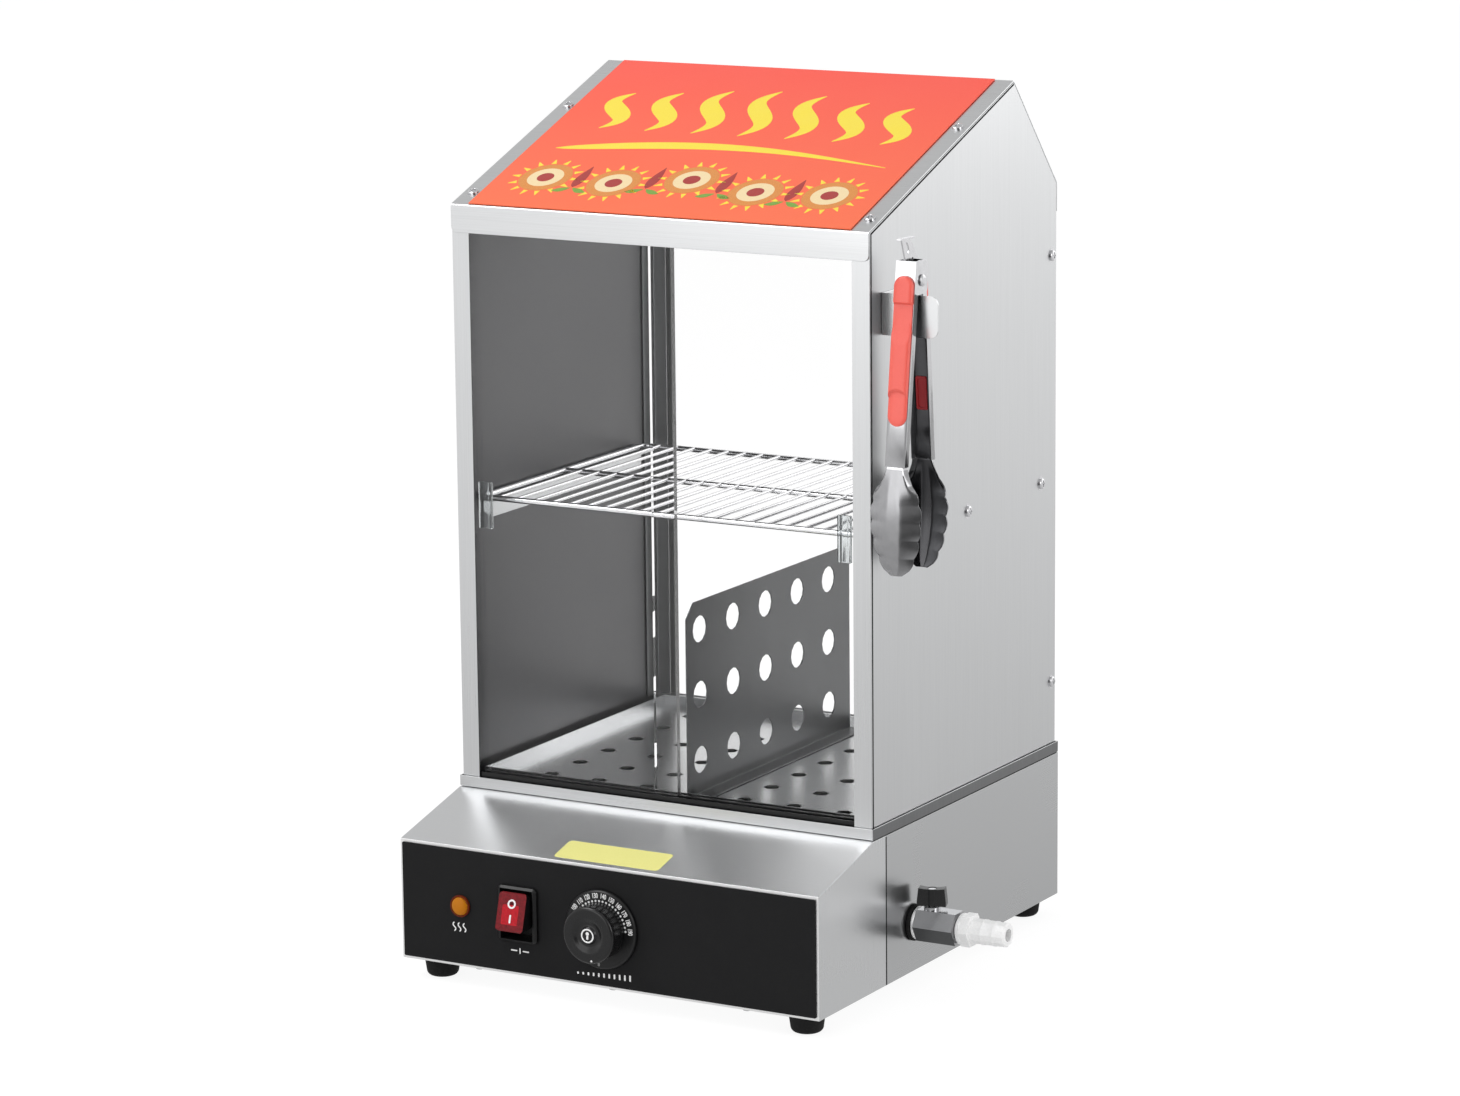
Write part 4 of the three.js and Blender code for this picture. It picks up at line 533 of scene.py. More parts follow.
class Finishes:
    """Every finish of the steamer, by the piece that wears it."""

    SIDE = Steel("upright brushed steel", "d6d7d8", "d0d1d2", Grain.UPRIGHT, 0.34)
    FLAT = Steel("cross brushed steel", "dedfe0", "d6d7d8", Grain.ACROSS, 0.3)
    # Painted light: the front faces of the side sheets are a lighter copy of the side steel.
    LIT_POST = Steel("brushed post steel with painted light", "dcddde", "d6d7d8", Grain.UPRIGHT, 0.3)
    DEEP = Steel("deep brushed steel", "cbcccd", "c9cacb", Grain.DEEP, 0.26, 1e-7, 0.005)
    CONSOLE = Steel("console steel", "dfe0e1", "dddedf", Grain.ACROSS, 0.3, 2e-7, 0.006)
    CHEEK = Steel("console end steel", "dfe0e1", "dddedf", Grain.UPRIGHT, 0.26, 1e-7, 0.005)
    # Painted shade: the side panels' inner faces are darkened as the shade inside the cabinet.
    SHADED_INNER = Steel("inner steel in painted shade", "606061", "575758", Grain.UPRIGHT, 0.34)
    BRIGHT = Steel("bright steel", "e0e0e2", "d6d6d8", Grain.NONE, 0.16)
    POLISHED = Steel("polished steel", "dadadc", "d2d2d4", Grain.NONE, 0.2)
    # Painted highlight: near-white steel for the console's front fold.
    HIGHLIT_FOLD = Steel("painted highlight on the console's fold", "ffffff", "fafafa", Grain.ACROSS, 0.45, 4e-7)
    # Painted shade: a darker copy of the tongs' polished steel for the heads.
    SHADED_HEAD = Steel("tong head steel in painted shade", "aeaeb0", "a6a6a8", Grain.NONE, 0.24)
    VALVE = Steel("valve steel", "c0c0c2", "b8b8ba", Grain.NONE, 0.14)
    # Painted shade: a dark copy of the tongs' steel for the faces between the arms.
    SHADED_INSIDE = Steel("inside of the tongs in painted shade", "5a5a5c", "525254", Grain.NONE, 0.18)
    DARK = Steel("shaded steel", "646566", "595a5b", Grain.UPRIGHT, 0.36, 3e-6)
    # Painted shade: a darkened steel for the rear channels and the base rim's ends.
    SHADED_CHANNEL = Steel("channel steel in painted shade", "808182", "747576", Grain.UPRIGHT, 0.32)
    COPPER = Steel("copper", "b87a4a", "a56a3e", Grain.NONE, 0.35, 3e-6)
    PANEL = Moulding("black printed panel", "1f1f20", "1b1b1c", 0.6, 2600.0, 3e-6, gloss=0.12)
    BLACK = Moulding("black plastic", "161617", "101011", 0.34, 1500.0, 6e-6, gloss=0.4)
    GLOSSY = Moulding("glossy black plastic", "141415", "0f0f10", 0.24, 1500.0, 2e-6)
    # Painted shade: thin dark strips along folds, edges and joints stand for the shade and dark
    # reflection in them.
    SHADED_SEAM = Moulding("shut line in painted shade", "1a1a1b", "141415", 0.6, gloss=0.1)
    RUBBER = Moulding("black rubber", "161616", "0e0e0e", 0.75, 1100.0, 2e-5, gloss=0.3)
    NYLON = Moulding("white nylon", "ffffff", "fafafa", 0.3, 900.0, 4e-6, 0.3)
    CORAL = Moulding("coral rubber", "f4675a", "ee5e52", 0.34, 2400.0, 2e-6, 0.15)
    PLUG = Moulding("dark red rubber", "b8141f", "a41019", 0.35, 2400.0, 4e-6)
    CERAMIC = Moulding("ceramic", "e8e2d4", "ddd6c6", 0.65, 1200.0)
    STICKER = Moulding("yellow paper", "f2ee98", "eeea90", 0.6, 1800.0, 2e-6, gloss=0.2)
    RED = Moulding("red clear plastic", "7c0f1a", "6c0b14", 0.3, 500.0, 2e-6, 0.12, 0.05, 0.2)
    RED_INSET = Moulding("lit red plastic", "c01022", "b20c1c", 0.3, 500.0, 2e-6, 0.1, 0.05, 0.2)
    INK = Moulding("white ink", "f6f6f6", "f0f0f0", 0.5, 3000.0, 2e-6)
    TICK = Moulding("grey ink", "8a8a8a", "828282", 0.5, 3000.0, 2e-6)
    YELLOW_INK = Moulding("yellow print", "ffe83a", "fbe02e", 0.4, 2200.0, 2e-6, 0.2)
    GOLD_INK = Moulding("golden print", "e8963c", "d9832c", 0.4, 2200.0, 2e-6, 0.2)
    CREAM_INK = Moulding("cream print", "fbe3b4", "f5d9a2", 0.4, 2200.0, 2e-6, 0.2)
    CRIMSON_INK = Moulding("crimson print", "b3221a", "a21a14", 0.4, 2200.0, 2e-6, 0.2)
    GREEN_INK = Moulding("leaf print", "7fae3a", "6f9c30", 0.4, 2200.0, 2e-6, 0.2)
    GLASS = Glass("clear glass")
    CLEAR = Glass("clear plastic", "dfe3e4", 0.12, 1.4)
    SIGN = Film("roof film")
    AMBER = Lens("amber lens")
    AMBER_RIM = Lens("amber rim", "7e300a", "561a06", 900.0)


class Bench:
    """Modelling steps shared by the sub-assemblies, done with Blender's own operators."""

    @staticmethod
    def deselect() -> None:
        """Leaves edit mode and deselects everything."""
        if bpy.context.mode != "OBJECT":
            bpy.ops.object.mode_set(mode="OBJECT")
        bpy.ops.object.select_all(action="DESELECT")

    @staticmethod
    def only(*pieces: Piece) -> None:
        """Selects some pieces alone and makes the first one active.

        Args:
            pieces: The pieces.
        """
        Bench.deselect()
        for piece in pieces:
            piece.select_set(True)
        bpy.context.view_layer.objects.active = pieces[0]

    @staticmethod
    def edit() -> None:
        """Enters edit mode on the active piece with all of it selected."""
        bpy.ops.object.mode_set(mode="EDIT")
        bpy.ops.mesh.select_all(action="SELECT")

    @staticmethod
    def close(merge: float = 0.0) -> Piece:
        """Turns the faces of the edited piece outwards and leaves edit mode.

        Args:
            merge: Distance in millimetres under which vertices are first merged.

        Returns:
            The piece.
        """
        bpy.ops.mesh.select_all(action="SELECT")
        if merge:
            bpy.ops.mesh.remove_doubles(threshold=merge * MM)
        bpy.ops.mesh.normals_make_consistent(inside=False)
        bpy.ops.object.mode_set(mode="OBJECT")
        return bpy.context.active_object

    @staticmethod
    def modify(piece: Piece, kind: str, **settings: Any) -> Piece:
        """Adds a modifier to a piece and applies it.

        Args:
            piece: The piece to change.
            kind: The modifier's type.
            settings: The modifier's values.

        Returns:
            The same piece.
        """
        Bench.only(piece)
        modifier = piece.modifiers.new(kind.lower(), kind)
        for key, value in settings.items():
            setattr(modifier, key, value)
        bpy.ops.object.modifier_apply(modifier=modifier.name)
        return piece

    @staticmethod
    def cut(piece: Piece, tool: Piece) -> None:
        """Cuts one piece's space out of another and removes it."""
        Bench.modify(piece, "BOOLEAN", operation="DIFFERENCE", object=tool, solver="EXACT")
        bpy.data.objects.remove(tool)

    @staticmethod
    def smooth(piece: Piece, angle: float = 32.0) -> Piece:
        """Shades a piece smooth and keeps its flats flat.

        Args:
            piece: The piece.
            angle: The sharpest edge that is smoothed, in degrees.

        Returns:
            The same piece.
        """
        Bench.only(piece)
        bpy.ops.object.shade_smooth_by_angle(angle=math.radians(angle))
        return Bench.modify(piece, "WEIGHTED_NORMAL", keep_sharp=True, weight=60)

    @staticmethod
    def settle(piece: Piece, name: str, body: str, slot: str, finish: Finish,
               *replaces: str) -> Piece:
        """Names and dresses a finished piece and ties it to its body.

        Args:
            piece: The finished piece.
            name: Its name.
            body: The moving body that it rides on.
            slot: The record's material slot; not used.
            finish: Its finish.
            replaces: Nodes that it stands for.

        Returns:
            The same piece.
        """
        Bench.only(piece)
        bpy.ops.object.transform_apply(location=True, rotation=True, scale=True)
        piece.name = piece.data.name = name
        Bench.paint(piece, finish)
        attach(piece, body)
        if replaces:
            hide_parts(*replaces)
        LOG.info("%s: %d faces on %s", name, len(piece.data.polygons), body)
        return piece

    @staticmethod
    def paint(piece: Piece, finish: Finish) -> None:
        """Gives a piece one finish all over."""
        piece.data.materials.clear()
        piece.data.materials.append(finish.material())

    @staticmethod
    def face(piece: Piece, finish: Finish, pick: Callable[[Vector, Vector], bool]) -> None:
        """Gives some faces of a dressed piece another finish.

        Args:
            piece: The piece.
            finish: The other finish.
            pick: Says by a face's middle and normal whether it takes that finish.
        """
        piece.data.materials.append(finish.material())
        for face in piece.data.polygons:
            if pick(face.center, face.normal):
                face.material_index = len(piece.data.materials) - 1

    @staticmethod
    def refined(node: str, fold: float = 0.5, rim: float = 0.3, flat: bool = False) -> Piece:
        """A merged copy of a node with rounded folds and eased rims.

        Args:
            node: The node to copy.
            fold: Radius of the edges between two broad faces, in millimetres.
            rim: Radius of all other sharp edges.
            flat: Whether its faces stay flat, as on a pierced panel.

        Returns:
            The copy, shaded smooth unless it is flat.
        """
        Bench.only(frame["nodes"][node])
        bpy.ops.object.duplicate()
        piece = bpy.context.active_object
        piece.parent = None
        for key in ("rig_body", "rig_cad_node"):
            del piece[key]
        bpy.ops.mesh.customdata_custom_splitnormals_clear()
        Bench.edit()
        bpy.ops.mesh.remove_doubles(threshold=0.02 * MM)
        if not flat:
            bpy.ops.mesh.dissolve_limited(angle_limit=math.radians(0.6))
        Bench.close()
        mesh = bmesh.new()
        mesh.from_mesh(piece.data)
        weight = mesh.edges.layers.float.new("bevel_weight_edge")
        for edge in mesh.edges:
            if len(edge.link_faces) == 2 and edge.calc_face_angle(0.0) > math.radians(27):
                narrow = min(f.calc_area() / max(e.calc_length() for e in f.edges)
                             for f in edge.link_faces)
                edge[weight] = 1.0 if narrow > 2.5 * fold * MM else rim / fold
        mesh.to_mesh(piece.data)
        mesh.free()
        Bench.modify(piece, "BEVEL", width=fold * MM, segments=2, limit_method="WEIGHT",
                     use_clamp_overlap=True)
        if not flat:
            return Bench.smooth(piece)
        bpy.ops.object.shade_flat()
        return piece

    @staticmethod
    def recast(node: str, name: str, body: str, slot: str, finish: Finish,
               **edges: Any) -> Piece:
        """Puts a refined and dressed copy of a node in its place."""
        return Bench.settle(Bench.refined(node, **edges), name, body, slot, finish, node)

    @staticmethod
    def turned(profile: Outline, axis: Vector, centre: Vector, steps: int = 64) -> Piece:
        """A body of revolution, spun from half of its outline.

        Args:
            profile: Radius and place along the axis of each corner, in millimetres.
            axis: The axis, along X, Y or Z.
            centre: The point where the place along the axis is zero.
            steps: Number of facets round the axis.

        Returns:
            The new piece.
        """
        out = Z_AXIS if abs(axis.z) < 0.5 else X_AXIS
        corners = [centre + (out * radius + axis * along) * MM for radius, along in profile]
        Bench.deselect()
        bpy.ops.mesh.primitive_plane_add(size=MM)
        Bench.edit()
        bpy.ops.mesh.merge(type="CENTER")
        bpy.ops.transform.translate(value=corners[0])
        for last, corner in zip(corners, corners[1:]):
            bpy.ops.mesh.extrude_region_move(TRANSFORM_OT_translate={"value": corner - last})
        bpy.ops.mesh.select_all(action="SELECT")
        bpy.ops.mesh.spin(steps=steps, angle=TAU, center=centre, axis=axis)
        return Bench.smooth(Bench.close(0.01))

    @staticmethod
    def wire(points: Sequence[Vector], radius: float, closed: bool = False) -> Piece:
        """A round wire along a path.

        Args:
            points: The path's corners.
            radius: The wire's radius in millimetres.
            closed: Whether the path is a loop.

        Returns:
            The new piece.
        """
        curve = bpy.data.curves.new("wire", "CURVE")
        curve.dimensions = "3D"
        curve.bevel_depth = radius * MM
        curve.bevel_resolution = 3
        curve.use_fill_caps = not closed
        spline = curve.splines.new("POLY")
        spline.points.add(len(points) - 1)
        for point, place in zip(spline.points, points):
            point.co = (*place, 1.0)
        spline.use_cyclic_u = closed
        piece = bpy.data.objects.new("wire", curve)
        bpy.context.scene.collection.objects.link(piece)
        Bench.only(piece)
        bpy.ops.object.convert(target="MESH")
        Bench.edit()
        return Bench.smooth(Bench.close(0.01), 50)

    @staticmethod
    def plate(outline: Outline, board: Board, thickness: float) -> Piece:
        """A thin plate with any outline, raised from a board.

        Args:
            outline: Its corners on the board.
            board: The board.
            thickness: Its height in millimetres.

        Returns:
            The new piece.
        """
        Bench.deselect()
        bpy.ops.mesh.primitive_circle_add(vertices=len(outline), fill_type="NGON", radius=MM)
        for vertex, (a, b) in zip(bpy.context.active_object.data.vertices, outline):
            vertex.co = board.at(a, b, 0.0)
        lift = board.out * (thickness * MM)
        Bench.edit()
        bpy.ops.mesh.extrude_region_move(TRANSFORM_OT_translate={"value": lift})
        return Bench.close()

    @staticmethod
    def joined(pieces: Sequence[Piece]) -> Piece:
        """Joins meshes into one piece.

        Args:
            pieces: The meshes.

        Returns:
            The piece.
        """
        Bench.only(*pieces)
        if len(pieces) > 1:
            bpy.ops.object.join()
        return bpy.context.active_object

    @staticmethod
    def dress(finish: Finish, *nodes: str) -> None:
        """Gives frame nodes a finish in place."""
        for node in nodes:
            Bench.paint(frame["nodes"][node], finish)


def arc(centre: Point, radius: float, start: float, end: float, steps: int) -> List[Point]:
    """Points of an arc between two angles in degrees, counted anticlockwise."""
    angles = [math.radians(start + (end - start) * i / steps) for i in range(steps + 1)]
    return [(centre[0] + radius * math.cos(a), centre[1] + radius * math.sin(a)) for a in angles]


def disc(centre: Point, radius: float, steps: int = 60) -> List[Point]:
    """Outline of a disc."""
    return arc(centre, radius, 0, 360 - 360 / steps, steps - 1)


def rounded(width: float, height: float, radius: float, centre: Point = (0.0, 0.0),
            steps: int = 5) -> List[Point]:
    """Outline of a rectangle with round corners.

    Args:
        width: Its width.
        height: Its height.
        radius: Radius of its corners.
        centre: Its middle.
        steps: Number of steps in a corner.

    Returns:
        The outline.
    """
    a, b = width / 2 - radius, height / 2 - radius
    corners = ((a, -b, -90), (a, b, 0), (-a, b, 90), (-a, -b, 180))
    return [point for x, y, start in corners
            for point in arc((centre[0] + x, centre[1] + y), radius, start, start + 90, steps)]


def band(steps: int, middle: Callable[[float], Point],
         width: Callable[[float], float]) -> List[Point]:
    """Outline of a stroke.

    Args:
        steps: Number of steps along it.
        middle: Gives its middle line at a share of its length.
        width: Gives its width at a share of its length.

    Returns:
        The outline, up one side and down the other.
    """
    path = [middle(i / steps) for i in range(steps + 1)]
    left, right = [], []
    for i, (a, b) in enumerate(path):
        before, after = path[max(i - 1, 0)], path[min(i + 1, steps)]
        run = Vector((after[0] - before[0], after[1] - before[1])).normalized()
        half = width(i / steps) / 2
        left.append((a - run.y * half, b + run.x * half))
        right.append((a + run.y * half, b - run.x * half))
    return left + right[::-1]


def swell(ends: float, middle: float, power: float = 1.0) -> Callable[[float], float]:
    """Width along a stroke that is wider between its ends; a power below 1 swells it early."""
    return lambda share: ends + middle * math.sin(math.pi * share ** power)


@dataclass
class PanScrew:
    """A pan head screw with a cross recess.

    Attributes:
        diameter: Diameter of the head in millimetres.
        height: Height of the head.
        seat: How far the disc under the head stands out.
        seat_height: Height of that disc.
    """

    diameter: float = 7.6
    height: float = 2.2
    seat: float = 1.1
    seat_height: float = 0.12

    def head(self, place: Vector, normal: Vector) -> Piece:
        """Makes one head on its seat.

        Args:
            place: Where it is seated.
            normal: Direction of its axis, out of the sheet.

        Returns:
            The head.
        """
        radius, seat = self.diameter / 2, self.diameter / 2 + self.seat
        turns = [math.radians(a) for a in range(0, 91, 15)]
        crown = [(radius * math.sin(a), self.height * (0.45 + 0.55 * math.cos(a)))
                 for a in turns]
        screw = Bench.turned([*crown, (radius, 0.0), (0.0, 0.0)], Z_AXIS, Vector(), 32)
        disk = [(0.0, 0.0), (seat, 0.0), (seat, self.seat_height), (0.0, self.seat_height)]
        under = Bench.turned(disk, Z_AXIS, Vector(), 32)
        for turn in (0.0, math.pi / 2):
            Bench.deselect()
            bpy.ops.mesh.primitive_cube_add(size=1, location=(0, 0, self.height * MM),
                                            rotation=(0, 0, turn))
            slot = bpy.context.active_object
            slot.scale = Vector((radius * 1.15, self.diameter * 0.13, self.height)) * MM
            bpy.ops.object.transform_apply(location=True, rotation=True, scale=True)
            Bench.cut(screw, slot)
        screw = Bench.joined([Bench.smooth(screw, 38), under])
        screw.rotation_mode = "QUATERNION"
        screw.rotation_quaternion = normal.to_track_quat("Z", "Y")
        screw.location = place
        return screw

    def row(self, name: str, seats: Sequence[Tuple[Vector, Vector]]) -> None:
        """Makes heads as one piece of the cabinet, each at a place and along a normal."""
        heads = [self.head(place, normal) for place, normal in seats]
        Bench.settle(Bench.joined(heads), name, "cabinet", "bright_steel", Finishes.BRIGHT)


@dataclass
class Slope:
    """The roof's front slope.

    Attributes:
        thickness: Thickness of the film on it in millimetres.
        margin: Distance of the film's lower edge from the fold.
        seat: Gap between the film and the roof.
    """

    thickness: float = 0.6
    margin: float = 1.4
    seat: float = 0.3

    def film(self) -> Board:
        """The film's face, from the middle of its lower edge.

        Returns:
            The board on it.
        """
        box, skin = Box.of("roof_sign"), self.thickness * MM
        run, rise = box.high.y - box.low.y, box.high.z - box.low.z
        angle = math.atan2(rise, run)
        for _ in range(3):
            angle = math.atan2(rise - skin * math.cos(angle), run - skin * math.sin(angle))
        up = Vector((0, math.cos(angle), math.sin(angle)))
        corner = Vector((box.middle.x, box.low.y, box.low.z + skin * math.cos(angle)))
        return Board(corner, X_AXIS, up, X_AXIS.cross(up))

    def roof(self) -> Board:
        """The bare roof, from the middle of the front fold."""
        return self.film().moved(0, -self.margin, -self.thickness - self.seat)


@dataclass
class Cabinet:
    """The folded steel body: side panels, roof, rim, housings and their screws.

    Attributes:
        fold: Radius of the outer folds in millimetres.
        rim: Radius of the sheet's own edges.
        line: Width of the shut lines beside the front posts.
        post_foot: Height of the posts' lower ends.
        eave: Place of the roof's front fold, behind the posts' front and above the datum.
        ridge: Place of the roof's ridge.
        base_top: Height of the base's side.
        sunk: How deep the shut lines start under the sheet's face.
        proud: How far they stand out of it.
        roof_screws: Places of the roof's screws, across and up from the middle of its fold.
        side_screws: Places of a side's screws, behind and above the datum.
        base_screws: Places of the screws under the console, across from the datum.
        base_margin: Distance of those screws from the console's front.
    """

    fold: float = 1.1
    rim: float = 0.3
    line: float = 1.6
    post_foot: float = 105.3
    eave: Point = (1.2, 501.7)
    ridge: Point = (205.7, 577.3)
    base_top: float = 101.2
    sunk: float = 0.3
    proud: float = 0.04
    roof_screws: Outline = ((-150.2, 17.9), (-150.2, 149.0), (150.2, 17.9), (150.2, 149.0))
    side_screws: Outline = ((264, 453), (248, 297), (138, 297), (265, 154))
    base_screws: Sequence[float] = (-101.3, 2.8, 104.2)
    base_margin: float = 4.5

    @property
    def side(self) -> float:
        """Distance from the middle to the outer face of a side panel, in millimetres."""
        return (Box.of("side_panel_right").high.x - Box.of("side_panel_left").low.x) / 2 / MM

    def build(self) -> None:
        """Refines the sheet parts, draws the painted shade lines and seats the screws."""
        steel, dark = "brushed_steel", "dark_steel"
        rows = (
            ("roof_panel", steel, Finishes.FLAT),
            ("base_rim", steel, Finishes.FLAT),
            ("base_shell", steel, Finishes.DEEP),
            ("bottom_plate", steel, Finishes.FLAT),
            ("rear_sill", steel, Finishes.FLAT),
            ("rear_head_rail", steel, Finishes.FLAT),
            ("shelf_support_left", steel, Finishes.DEEP),
            ("shelf_support_right", steel, Finishes.DEEP),
            ("water_tank", steel, Finishes.FLAT),
            ("perforated_tray", steel, Finishes.DEEP),
            ("partition_plate", dark, Finishes.DARK),
            ("door_track_top", dark, Finishes.DARK),
            # Painted shade: the rear channels take the darkened channel steel.
            ("rear_channel_left", dark, Finishes.SHADED_CHANNEL),
            ("rear_channel_right", dark, Finishes.SHADED_CHANNEL),
            ("side_panel_left", steel, Finishes.SIDE),
            ("side_panel_right", steel, Finishes.SIDE),
            ("control_housing", steel, Finishes.CONSOLE),
        )
        sheets = {node: Bench.recast(node, node + "_sheet", "cabinet", slot, finish,
                                     fold=self.fold, rim=self.rim)
                  for node, slot, finish in rows}
        Bench.recast("control_panel", "panel_face", "cabinet", "black_panel", Finishes.PANEL,
                     fold=0.3, rim=0.2, flat=True)
        for node in ("side_panel_left", "side_panel_right"):
            # Painted light: the front faces take the lighter copy of the side steel.
            Bench.face(sheets[node], Finishes.LIT_POST, lambda _, normal: normal.y < -FACING)
            # Painted shade: the inward faces take the darkened inner steel.
            Bench.face(sheets[node], Finishes.SHADED_INNER, lambda place, normal:
                       place.x * normal.x < 0 and abs(normal.x) > FACING)
        # Painted shade: the base rim's end faces take the darkened channel steel.
        for node, finish in (("control_housing", Finishes.CHEEK),
                             ("base_rim", Finishes.SHADED_CHANNEL)):
            Bench.face(sheets[node], finish, lambda _, normal: abs(normal.x) > FACING)
        # Painted highlight: the front-facing faces of the console take the white fold steel.
        Bench.face(sheets["control_housing"], Finishes.HIGHLIT_FOLD, lambda _, normal: normal.y < -0.5)
        self.painted_shade_lines()
        self.screws()

    def painted_shade_lines(self) -> None:
        """Painted shade lines: dark strips at the front corners' folds, under the roof's edges
        and at the base's joint.
        """
        (front, top), (back, peak) = self.eave, self.ridge
        inner, foot = front + self.line, self.post_foot
        shell = Box.of("base_shell")
        joint = (shell.low.y - DATUM.origin.y) / MM
        upright = [(front, foot), (inner, foot), (inner, top - 0.3), (front, top - 0.7)]
        slope = [(front, top - 1.9), (back, peak - 1.9), (back, peak - 0.5), (front, top - 0.5)]
        split = [(joint - 0.9, 0.3), (joint + 0.6, 0.3), (joint + 0.6, self.base_top),
                 (joint - 0.9, self.base_top)]
        pieces = []
        for sign in (-1, 1):
            for outline, out in ((upright, self.side), (slope, self.side),
                                 (split, shell.size.x / 2)):
                beside = Board(DATUM.at(sign * (out - self.sunk), 0, 0), Y_AXIS, Z_AXIS,
                               X_AXIS * sign)
                pieces.append(Bench.plate(outline, beside, self.sunk + self.proud))
        Bench.settle(Bench.joined(pieces), "painted_shade_lines", "cabinet", "dark_steel", Finishes.SHADED_SEAM)

    def screws(self) -> None:
        """Pan heads on the roof, on both sides and under the front edge."""
        roof = Slope().roof()
        seats = [(roof.at(x, up, 0), roof.out) for x, up in self.roof_screws]
        seats += [(DATUM.at(sign * self.side, y, z), X_AXIS * sign)
                  for y, z in self.side_screws for sign in (-1, 1)]
        PanScrew().row("cabinet_screws", seats)
        front = (Box.of("control_housing").low.y - DATUM.origin.y) / MM + self.base_margin
        PanScrew(6.0, 1.6).row("base_screws", [(DATUM.at(x, front, 0), -Z_AXIS)
                                               for x in self.base_screws])


@dataclass
class RoofSign:
    """The film on the roof with a plain print: steam waves over a row of suns and leaves.

    Attributes:
        ink: Height of the print in millimetres.
        discs: Radius of a sun's disc, of its centre and of its heart.
        rays: Number of rays round a sun.
        pitch: Distance between two suns.
    """

    ink: float = 0.06
    discs: Tuple[float, float, float] = (18.8, 12.8, 6.0)
    rays: int = 14
    pitch: float = 54.0

    def build(self) -> None:
        """Dresses the film and lays the print on it, layer by layer."""
        Bench.dress(Finishes.SIGN, "roof_sign")
        suns = [(i * self.pitch, 44 + 7 * math.cos(2.2 * i)) for i in range(-2, 3)]
        gaps = [((x0 + x1) / 2, (y0 + y1) / 2) for (x0, y0), (x1, y1) in zip(suns, suns[1:])]
        sun, centre, heart = ([disc(place, radius) for place in suns] for radius in self.discs)
        prints = (
            ("sign_waves", Finishes.YELLOW_INK, 0, self.waves() + self.bursts(suns)),
            ("sign_discs", Finishes.GOLD_INK, 0, sun),
            ("sign_disc_centres", Finishes.CREAM_INK, 1, centre),
            ("sign_disc_hearts", Finishes.CRIMSON_INK, 2, heart),
            ("sign_drops", Finishes.CRIMSON_INK, 0, self.drops(gaps)),
            ("sign_leaves", Finishes.GREEN_INK, 0, self.leaves(gaps)),
        )
        for name, finish, layer, outlines in prints:
            board = Slope().film().moved(0, 0, layer * self.ink)
            pieces = [Bench.plate(outline, board, self.ink) for outline in outlines]
            Bench.settle(Bench.joined(pieces), name, "cabinet", "sign_film", finish)

    def waves(self) -> List[Outline]:
        """Draws seven steam waves that swell in the middle, and a long swash under them.

        Returns:
            Their outlines.
        """
        outlines = []
        for i in range(-3, 4):
            x, tall = i * 36, 60 + 7 * math.cos(i)
            outlines.append(band(24, lambda s: (x + 9 * math.sin(TAU * s), 116 + tall * s),
                                 swell(0.8, 14)))
        outlines.append(band(36, lambda s: (-124 + 252 * s, 84 + 15 * math.sin(math.pi * s)),
                             swell(0.6, 9.0, 0.6)))
        return outlines

    def bursts(self, suns: Sequence[Point]) -> List[Outline]:
        """Draws short rays round each sun.

        Args:
            suns: Middles of the suns.

        Returns:
            The outlines of the rays.
        """
        outlines = []
        for x, y in suns:
            for i in range(self.rays):
                east, north = math.cos(TAU * i / self.rays), math.sin(TAU * i / self.rays)
                outlines.append(band(4, lambda s: (x + (19.8 + 6 * s) * east,
                                                   y + (19.8 + 6 * s) * north),
                                     lambda s: 0.6 + 3.2 * (1 - s)))
        return outlines

    def drops(self, gaps: Sequence[Point]) -> List[Outline]:
        """Draws a pointed drop in each gap between two suns."""
        return [band(16, lambda s: (x, y - 10 + 30 * s), swell(0.3, 7.5, 0.7)) for x, y in gaps]

    def leaves(self, gaps: Sequence[Point]) -> List[Outline]:
        """Draws two leaves at the foot of each drop.

        Args:
            gaps: Middles between the suns.

        Returns:
            The outlines of the leaves.
        """
        def middle(x: float, y: float, side: int) -> Callable[[float], Point]:
            """Middle line of one leaf."""
            return lambda s: (x + side * (1 + 12 * s), y - 11 - 5 * math.sin(math.pi * s / 2))
        return [band(12, middle(x, y, side), swell(0.3, 5.0)) for x, y in gaps
                for side in (-1, 1)]


@dataclass
class Glazing:
    """Doors, rear pane, pulls and lower track.

    Attributes:
        fold: Radius of the track's folds in millimetres.
        rim: Radius of its own edges.
    """

    fold: float = 0.4
    rim: float = 0.25

    def build(self) -> None:
        """Dresses the panes and refines the pulls and the track."""
        Bench.dress(Finishes.GLASS, "door_glass_left", "door_glass_right", "rear_glass")
        for side in ("left", "right"):
            node = "door_pull_" + side
            Bench.recast(node, node + "_clip", side + "_door", "clear_plastic", Finishes.CLEAR)
        Bench.recast("door_track_bottom", "lower_track", "cabinet", "black_plastic",
                     Finishes.BLACK, fold=self.fold, rim=self.rim)


